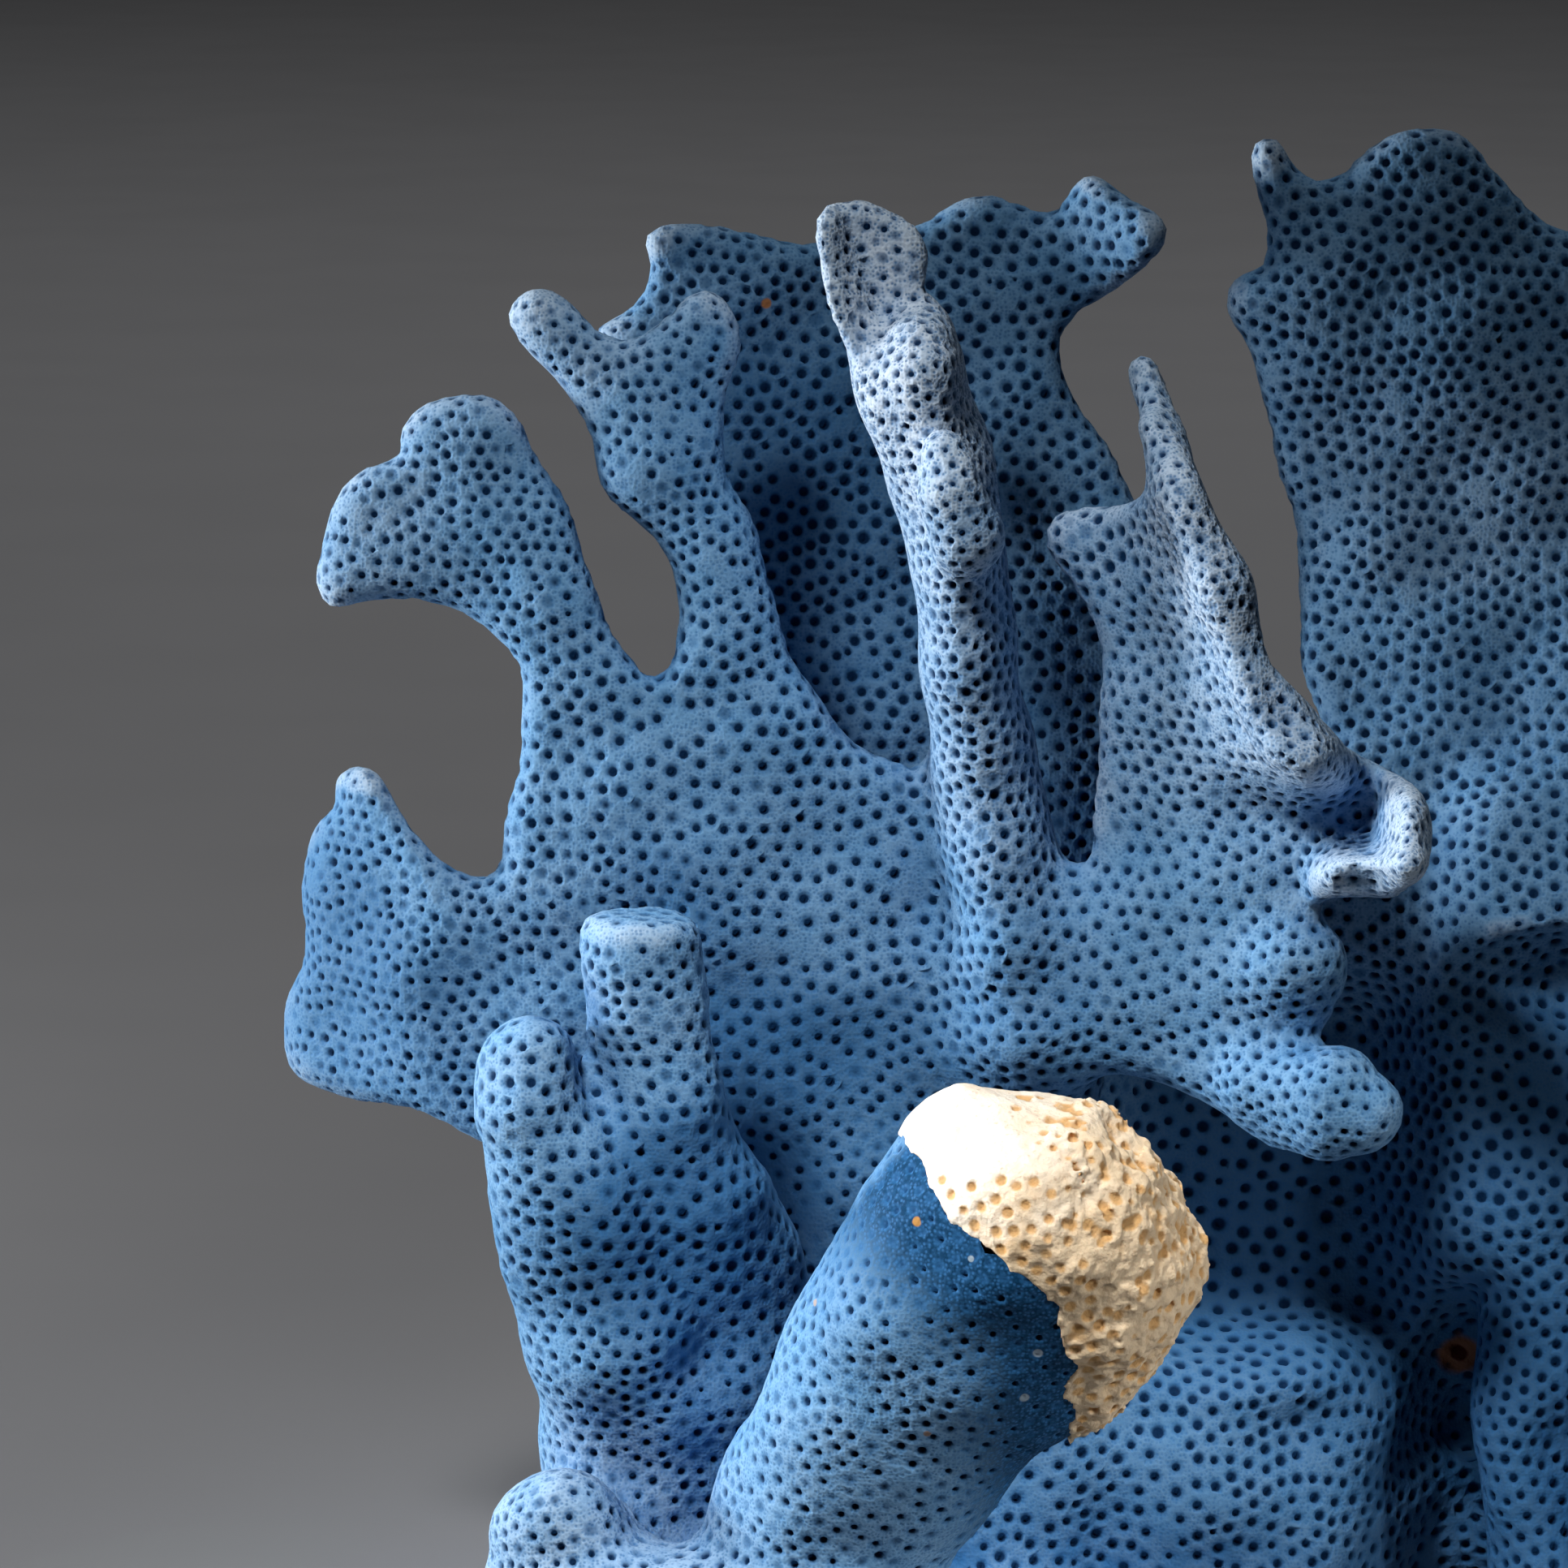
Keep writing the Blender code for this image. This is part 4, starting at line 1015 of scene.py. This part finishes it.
def make_piece(name, points, triangles, normals, marks, material):
    """A mesh object in metres, from the triangles and the points that they use."""
    used, corners = np.unique(triangles, return_inverse=True)
    corners = corners.reshape(-1).astype(np.int32)
    mesh = bpy.data.meshes.new(name)
    mesh.vertices.add(len(used))
    mesh.vertices.foreach_set("co", (points[used] * MM).ravel())
    mesh.loops.add(len(corners))
    mesh.loops.foreach_set("vertex_index", corners)
    mesh.polygons.add(len(triangles))
    mesh.polygons.foreach_set("loop_start", np.arange(0, len(corners), 3, dtype=np.int32))
    mesh.update(calc_edges=True)
    mesh.shade_smooth()
    mesh.normals_split_custom_set_from_vertices(normals[used].tolist())
    for mark, values in marks.items():
        attribute = mesh.attributes.new(mark, "FLOAT", "POINT")
        attribute.data.foreach_set("value", values[used].astype(np.float32))
    mesh.materials.append(material)
    piece = bpy.data.objects.new(name, mesh)
    bpy.context.scene.collection.objects.link(piece)
    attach(piece, "root")
    return piece


# The white crust


def lattice_noise(points, size, chance):
    """Smooth random values between -1 and 1, with lumps of about the size."""
    low = points.min(axis=0) - size
    count = ((points.max(axis=0) - low) / size).astype(int) + 3
    values = chance.uniform(-1.0, 1.0, count)
    place = (points - low) / size
    first = place.astype(int)
    share = place - first
    share = share * share * (3.0 - 2.0 * share)
    total = np.zeros(len(points))
    for corner in CORNERS:
        weight = np.where(corner, share, 1.0 - share).prod(axis=1)
        total += weight * values[tuple((first + corner).T)]
    return total


def noises(points, grain, chance):
    return sum(height * lattice_noise(points, size, chance) for size, height in grain)


def crust_pits(surface, depth_of, chance):
    """The middles and radii of the crust's pits: its pores near the edge, then loose ones."""
    across, up = view_of(*surface.T)
    to_right = across + 0.5 * (up - 20.0) - CRUST_PORE_END
    pores = surface[(depth_of < CRUST_PORE_EDGE) & (to_right < 0.0) & (up < CRUST_PORE_TOP)]
    spacing = np.full(len(pores), CRUST_PORE_SPACING)
    pores = pores[scattered(pores, spacing, tree_of(pores), chance)]
    rest = surface[(to_right > 0.0) & (depth_of < CRUST_PIT_EDGE)]
    loose = rest[chance.choice(len(rest), CRUST_PITS, replace=False)]
    radii = [
        chance.uniform(*CRUST_PORE_RADII, len(pores)),
        chance.uniform(*CRUST_PIT_RADII, len(loose)),
    ]
    return np.concatenate([pores, loose]), np.concatenate(radii)


def crust_mesh(skin, chance):
    """The rough white crust, a shell on the finger's end, and how far inside it a place is.

    The crust is given as its points, triangles, normals and marks.
    """
    solid = np.array([vertex.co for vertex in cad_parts["white_crust"].data.vertices]) / MM
    axes = [
        np.arange(low - CRUST_MARGIN, high + CRUST_MARGIN, CRUST_CELL)
        for low, high in zip(solid.min(axis=0), solid.max(axis=0))
    ]
    grid = np.stack(np.meshgrid(*axes, indexing="ij"), axis=-1)
    shape, grid = grid.shape[:3], grid.reshape(-1, 3)
    inside = skin.distance(grid)
    near = np.flatnonzero(np.abs(inside) < CRUST_THICKNESS + 1.0)
    points, inside = grid[near], inside[near]
    places = across, up, _ = places_of(points)
    within = white_distance(*places) + noises(points, CRUST_RAGGED, chance)
    rise = CRUST_HEIGHT * step(*CRUST_RISING, within) + CRUST_EDGE
    smooth = inside - rise + CRUST_LUMPS * undulation(*(CRUST_FINENESS * points.T))
    to_right = step(*CRUST_COARSE, across + 0.2 * (20.0 - up))
    coarse = CRUST_SMOOTH + (1.0 - CRUST_SMOOTH) * to_right
    body = smooth + coarse * noises(points, CRUST_GRAIN, chance)
    outer = (np.abs(body) < 0.5 * CRUST_CELL) & (within < CRUST_INNER_EDGE)
    pit = np.full(len(points), FAR)
    tree = tree_of(points)
    for middle, radius in zip(*crust_pits(points[outer], within[outer], chance)):
        for _, number, away in tree.find_range(middle.tolist(), radius + CRUST_PIT_MARGIN):
            pit[number] = min(pit[number], away - radius)
    body = np.maximum(body, np.minimum(-pit, body + CRUST_PIT_DEPTH))
    body = np.minimum(body, inside - CRUST_LEAST)
    cover = np.maximum(within, BROKEN_FINGER[0].distance(*places) - CRUST_REACH)
    shell = np.maximum(np.maximum(body, cover), -CRUST_THICKNESS - inside)

    def on_grid(values):
        whole = np.full(len(grid), FAR)
        whole[near] = values
        return whole.reshape(shape)

    points, quads = largest_body(*surface_net(on_grid(shell), axes))
    across, up = view_of(*points.T)
    marks = {
        "pit": step(*CRUST_PIT_FADE, Sampled(axes, on_grid(pit)).distance(points)),
        "low": step(*CRUST_LOW_FADE, Sampled(axes, on_grid(smooth)).distance(points)),
        "warm": step(*CRUST_PAINTED_SHADE, across - 0.8 * up),
    }
    triangles = halved(quads)
    crust = points, triangles, normals_of(points, triangles), marks
    return crust, Sampled(axes, on_grid(cover))


# Small stains and specks: across, up, radius and colour
STAINS = [
    (8.9, 23.2, 0.3, (176, 128, 70)),
    (-1.2, 84.7, 0.35, (196, 130, 84)),
    (45.2, 14.4, 1.5, (120, 84, 66)),
    (45.2, 14.4, 0.6, (60, 14, 8)),
    (17.0, 14.4, 0.3, (150, 165, 178)),
    (16.1, 11.4, 0.3, (140, 156, 168)),
    (12.5, 20.7, 0.2, (140, 156, 168)),
    (2.1, 17.8, 0.25, (160, 150, 148)),
    (9.6, 9.0, 0.25, (140, 120, 110)),
]


def srgb(red, green, blue):
    """A colour of a screen, 0 to 255, as a colour of a shader."""
    values = np.array([red, green, blue]) / 255.0
    linear = np.where(values <= 0.04045, values / 12.92, ((values + 0.055) / 1.055) ** 2.4)
    return (*linear.tolist(), 1.0)


# Colours. The darker shade blue, the halo blue and the pit blue are painted shade, the deep blue
# is painted shade in recesses besides its grain and mottles, the frost grey is in part a painted
# highlight, and the crust's cream is in part painted shade on its lower right
PAINTED_SHADE_BLUE = srgb(30, 84, 130)
DEEP_BLUE = srgb(50, 106, 158)
MID_BLUE = srgb(106, 156, 198)
SOFT_BLUE = srgb(126, 170, 208)
GREY_BLUE = srgb(138, 174, 206)
FROST_GREY = srgb(214, 228, 242)
RIM_GREY = srgb(196, 214, 230)
BARE_BLUE = srgb(4, 54, 88)
PAINTED_HALO_SHADE = srgb(44, 102, 154)
PAINTED_PIT_SHADE = srgb(2, 40, 76)
CRUST_WHITE = srgb(250, 243, 230)
CRUST_CREAM = srgb(220, 196, 162)
CRUST_TAN = srgb(200, 154, 94)
CRUST_BROWN = srgb(150, 106, 62)
FLOOR_LIGHT = srgb(127, 127, 129)
FLOOR_DARK = srgb(123, 123, 125)
SKY = srgb(150, 152, 158)
SKY_STRENGTH = 0.03

# The sizes of the skin's grains and of its mottles, its gloss, how far light goes into the
# crust, and the width of the floor
SKIN_GRAIN = 0.28
SKIN_MOTTLE = 0.3
SKIN_GLOSS = 0.12
CRUST_GLOW = 0.15
CRUST_GLOW_RADIUS = (1.0, 0.7, 0.5)
CRUST_GLOW_REACH = 0.6
FLOOR_SIZE = 8.0

# Lamps: name, place, what they are aimed at, size, spread of the beam in degrees and power
LAMPS = [
    ("key", (-0.113, -0.164, 0.267), (-0.012, -0.035, 0.015), 0.06, 38, 0.052),
    ("side", (-0.347, 0.020, 0.081), (0.0, -0.01, 0.05), 0.077, 180, 1.4),
    ("kicker", (0.159, -0.133, 0.136), (0.018, -0.045, 0.024), 0.03, 24, 0.0075),
    ("backdrop", (0.0, 0.15, 1.0), (0.0, 1.6, 0.0), 0.5, 140, 4.9),
]


class Paint:
    """A material whose nodes are made one after another."""

    def __init__(self, name):
        self.material = bpy.data.materials.new(name)
        self.material.use_nodes = True
        self.nodes = self.material.node_tree.nodes
        self.surface = self.nodes["Principled BSDF"].inputs
        self.place = self.made("TexCoord", "Object", {})

    def put(self, value, socket):
        if isinstance(value, bpy.types.NodeSocket):
            self.material.node_tree.links.new(value, socket)
        else:
            socket.default_value = value

    def made(self, kind, output, inputs, **settings):
        """The output of a new node of the kind, with its settings and inputs."""
        node = self.nodes.new("ShaderNode" + kind)
        for setting, value in settings.items():
            setattr(node, setting, value)
        for name, value in inputs.items():
            self.put(value, node.inputs[name])
        return node.outputs[output]

    def mark(self, name):
        return self.made("Attribute", "Fac", {}, attribute_name=name)

    def noise(self, size, detail=2.0):
        inputs = {"Vector": self.place, "Scale": 1.0 / (size * MM), "Detail": detail}
        return self.made("TexNoise", "Fac", inputs)

    def grains(self, size):
        inputs = {"Randomness": 0.75, "Vector": self.place, "Scale": 1.0 / (size * MM)}
        return self.made("TexVoronoi", "Distance", inputs, feature="F1")

    def near(self, place, radius):
        """1 within the radius of a place of the world, in millimetres, and 0 well outside."""
        inputs = {0: self.place, 1: tuple(float(side) * MM for side in place)}
        away = self.made("VectorMath", "Value", inputs, operation="DISTANCE")
        return self.ranged(away, radius * 1.25 * MM, radius * 0.8 * MM)

    def ranged(self, value, low, high, first=0.0, last=1.0):
        """The value from low to high, smoothly turned into first to last."""
        inputs = {"Value": value, "From Min": low, "From Max": high}
        inputs |= {"To Min": first, "To Max": last}
        return self.made("MapRange", "Result", inputs, interpolation_type="SMOOTHSTEP")

    def sum(self, operation, first, second):
        return self.made("Math", "Value", {0: first, 1: second}, operation=operation)

    def mix(self, share, first, second):
        inputs = {"Factor": share, "A": first, "B": second}
        return self.made("Mix", "Result", inputs, data_type="RGBA")

    def relief(self, height, depth, under=None):
        inputs = {"Distance": depth * MM, "Height": height}
        if under:
            inputs["Normal"] = under
        return self.made("Bump", "Normal", inputs)


def coral_paint(stains):
    paint = Paint("pored_blue_skin")
    pit, frost_and_painted_shading = paint.mark("pit"), paint.mark("frost_and_painted_shading")
    patches = paint.ranged(paint.noise(9.0, 3.0), 0.3, 0.7)
    clouds = paint.ranged(paint.noise(2.2, 3.0), 0.3, 0.7)
    # Painted shade: where the skin is not open, in recesses and between parts, it is mixed towards
    # a deeper blue
    colour = paint.mix(paint.ranged(paint.mark("open"), 0.3, 0.95), DEEP_BLUE, MID_BLUE)
    colour = paint.mix(paint.sum("MULTIPLY", patches, 0.5), colour, SOFT_BLUE)
    colour = paint.mix(paint.sum("MULTIPLY", clouds, 0.35), colour, GREY_BLUE)
    mottled = paint.ranged(clouds, 0.0, 1.0, 0.65, 0.95)
    # Frosted, pale skin, where the trait was also raised as a painted highlight for places that the
    # lamps light too little
    colour = paint.mix(paint.sum("MULTIPLY", frost_and_painted_shading, mottled), colour, FROST_GREY)
    rim = paint.ranged(paint.mark("edge"), 0.2, 1.0, 0.0, 0.75)
    colour = paint.mix(paint.sum("MULTIPLY", rim, mottled), colour, RIM_GREY)
    # Painted shade: where the trait is below 0 the skin is mixed towards a darker, deeper blue, for
    # places that lie in shade
    colour = paint.mix(paint.ranged(frost_and_painted_shading, 0.0, -1.0, 0.0, 0.75), colour, PAINTED_SHADE_BLUE)
    bare = paint.mark("bare")
    colour = paint.mix(bare, colour, BARE_BLUE)
    grain = paint.grains(SKIN_GRAIN)
    grained = paint.ranged(paint.sum("ADD", frost_and_painted_shading, bare), 0.0, 1.0, 0.65, 0.8)
    speckle = paint.sum("MULTIPLY", paint.ranged(grain, 0.55, 0.1), grained)
    colour = paint.mix(speckle, colour, DEEP_BLUE)
    mottle = paint.ranged(paint.noise(SKIN_MOTTLE, 2.0), 0.42, 0.62, 0.0, 0.2)
    colour = paint.mix(mottle, colour, DEEP_BLUE)
    # Painted shade: a darker blue ring around each pore's rim, as the shade of its funnel
    colour = paint.mix(paint.ranged(pit, 0.1, 0.3, 0.0, 0.5), colour, PAINTED_HALO_SHADE)
    # Painted shade: each pore's inside is mixed towards a dark blue, as the shade in the hole, less
    # of it beside the crust
    deep, shown = paint.ranged(pit, 0.2, 0.55), paint.ranged(bare, 0.0, 1.0, 1.0, 0.6)
    colour = paint.mix(paint.sum("MULTIPLY", deep, shown), colour, PAINTED_PIT_SHADE)
    for place, radius, stain in stains:
        colour = paint.mix(paint.near(place, radius), colour, stain)
    paint.put(colour, paint.surface["Base Color"])
    paint.put(paint.ranged(grain, 0.1, 0.8, 0.62, 0.8), paint.surface["Roughness"])
    paint.surface["Specular IOR Level"].default_value = SKIN_GLOSS
    rough = paint.relief(paint.noise(0.5, 3.0), 0.02)
    height = paint.sum("MULTIPLY", grain, paint.ranged(frost_and_painted_shading, 0.0, 1.0, 0.5, 1.0))
    paint.put(paint.relief(height, 0.08, rough), paint.surface["Normal"])
    return paint.material


def crust_paint():
    paint = Paint("white_crust")
    patches = paint.ranged(paint.noise(4.0, 3.0), 0.3, 0.7, 0.0, 0.5)
    fine = paint.noise(0.35, 4.0)
    # Painted shade: the crust turns cream and darker towards its lower right, where it lies in
    # shade; the random patches are its own tone
    warm = paint.sum("ADD", paint.mark("warm"), patches)
    colour = paint.mix(warm, CRUST_WHITE, CRUST_CREAM)
    low = paint.sum("MULTIPLY", paint.mark("low"), paint.ranged(paint.noise(1.6, 2.0), 0.35, 0.65))
    colour = paint.mix(paint.sum("MULTIPLY", low, 0.85), colour, CRUST_TAN)
    colour = paint.mix(paint.ranged(paint.mark("pit"), 0.1, 0.9, 0.0, 0.9), colour, CRUST_TAN)
    colour = paint.mix(paint.ranged(fine, 0.58, 0.75, 0.0, 0.4), colour, CRUST_BROWN)
    paint.put(colour, paint.surface["Base Color"])
    paint.put(paint.ranged(fine, 0.3, 0.7, 0.75, 0.9), paint.surface["Roughness"])
    paint.surface["Subsurface Weight"].default_value = CRUST_GLOW
    paint.surface["Subsurface Radius"].default_value = CRUST_GLOW_RADIUS
    paint.surface["Subsurface Scale"].default_value = CRUST_GLOW_REACH * MM
    under = paint.relief(paint.noise(0.8, 3.0), 0.2)
    paint.put(paint.relief(fine, 0.1, under), paint.surface["Normal"])
    return paint.material


def floor_paint():
    paint = Paint("pale_floor")
    colour = paint.mix(paint.noise(180.0, 2.0), FLOOR_LIGHT, FLOOR_DARK)
    paint.put(colour, paint.surface["Base Color"])
    paint.put(paint.ranged(paint.noise(30.0), 0.3, 0.7, 0.75, 0.85), paint.surface["Roughness"])
    return paint.material


# The floor, the light and the camera


def make_lamp(name, place, target, size, spread, power):
    lamp = bpy.data.lights.new(name, "AREA")
    lamp.shape = "DISK"
    lamp.size = size
    lamp.spread = math.radians(spread)
    lamp.energy = power
    obj = bpy.data.objects.new(name, lamp)
    obj.location = place
    ahead = Vector(target) - Vector(place)
    obj.rotation_euler = ahead.to_track_quat("-Z", "Y").to_euler()
    bpy.context.scene.collection.objects.link(obj)


def make_stage():
    mesh = bpy.data.meshes.new("floor")
    side = FLOOR_SIZE / 2
    places = [(-side, -side, 0.0), (side, -side, 0.0), (side, side, 0.0), (-side, side, 0.0)]
    mesh.from_pydata(places, [], [(0, 1, 2, 3)])
    mesh.materials.append(floor_paint())
    floor = bpy.data.objects.new("floor", mesh)
    bpy.context.scene.collection.objects.link(floor)
    for lamp in LAMPS:
        make_lamp(*lamp)
    world = bpy.data.worlds.new("studio")
    world.use_nodes = True
    background = world.node_tree.nodes["Background"].inputs
    background["Color"].default_value = SKY
    background["Strength"].default_value = SKY_STRENGTH
    bpy.context.scene.world = world
    bpy.context.scene.view_settings.view_transform = "Standard"


def make_camera():
    lens = bpy.data.cameras.new("photo")
    lens.sensor_width = 36.0
    lens.lens = lens.sensor_width * VIEW_DISTANCE / VIEW_WIDTH
    lens.clip_end = 20.0
    camera = bpy.data.objects.new("photo", lens)
    ahead = Vector((0.0, math.cos(VIEW_TILT), -math.sin(VIEW_TILT)))
    camera.location = (Vector(VIEW_TARGET) - VIEW_DISTANCE * ahead) * MM
    camera.rotation_euler = (math.pi / 2 - VIEW_TILT, 0.0, 0.0)
    bpy.context.scene.collection.objects.link(camera)
    bpy.context.scene.camera = camera


# The pieces


def node_of(centres):
    """The name of the solid that each cell's middle is nearest to, the crust left out."""
    names = [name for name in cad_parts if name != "white_crust"]
    gaps = []
    for name in names:
        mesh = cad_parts[name].data
        corners, faces = [v.co for v in mesh.vertices], [face.vertices for face in mesh.polygons]
        tree = bvhtree.BVHTree.FromPolygons(corners, faces)
        gaps.append([tree.find_nearest(place)[3] for place in (centres * MM).tolist()])
    return np.array(names)[np.argmin(gaps, axis=0)]


def share_names(nodes, centres):
    """The piece that each cell belongs to: its branch, or its side of the base."""
    across, depth, height = centres.T
    side = np.where(across < BASE_SPLIT[0], "left", "right")
    face = np.where(depth < BASE_SPLIT[1], "front", "back")
    quarter = np.char.add(np.char.add("base_", face), np.char.add("_", side))
    quarter = np.where(height < UNDERSIDE, "base_underside", quarter)
    return np.where(nodes == "base", quarter, nodes)


def main():
    chance = np.random.default_rng(SEED)
    axes = [np.arange(low, high, CELL) for low, high in zip(BOX_LOW, BOX_HIGH)]
    x, y, z = np.meshgrid(*axes, indexing="ij")
    field = np.maximum(coral_field(axes) + undulation(x, y, z), -z)
    points, quads = surface_net(field, axes)
    skin = Sampled(axes, field)
    spacing = traits_at(skin, points)[0]
    centres, borders = laid_out(skin, points, quads, spacing, chance)
    crust, cover = crust_mesh(skin, chance)
    points, triangles, owner, normals, marks = pored_mesh(skin, cover, centres, borders, chance)
    stains = [
        (front_place(skin, across, up), radius, srgb(*colour))
        for across, up, radius, colour in STAINS
    ]
    paint = coral_paint(stains)
    nodes = node_of(centres)
    shares = share_names(nodes, centres)[owner]
    for name in np.unique(shares).tolist():
        piece = make_piece("skin_" + name, points, triangles[shares == name], normals, marks, paint)
        node = "base" if name.startswith("base") else name
        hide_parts(node)
    piece = make_piece("crust", *crust, crust_paint())
    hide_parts("white_crust")
    make_stage()
    make_camera()


main()
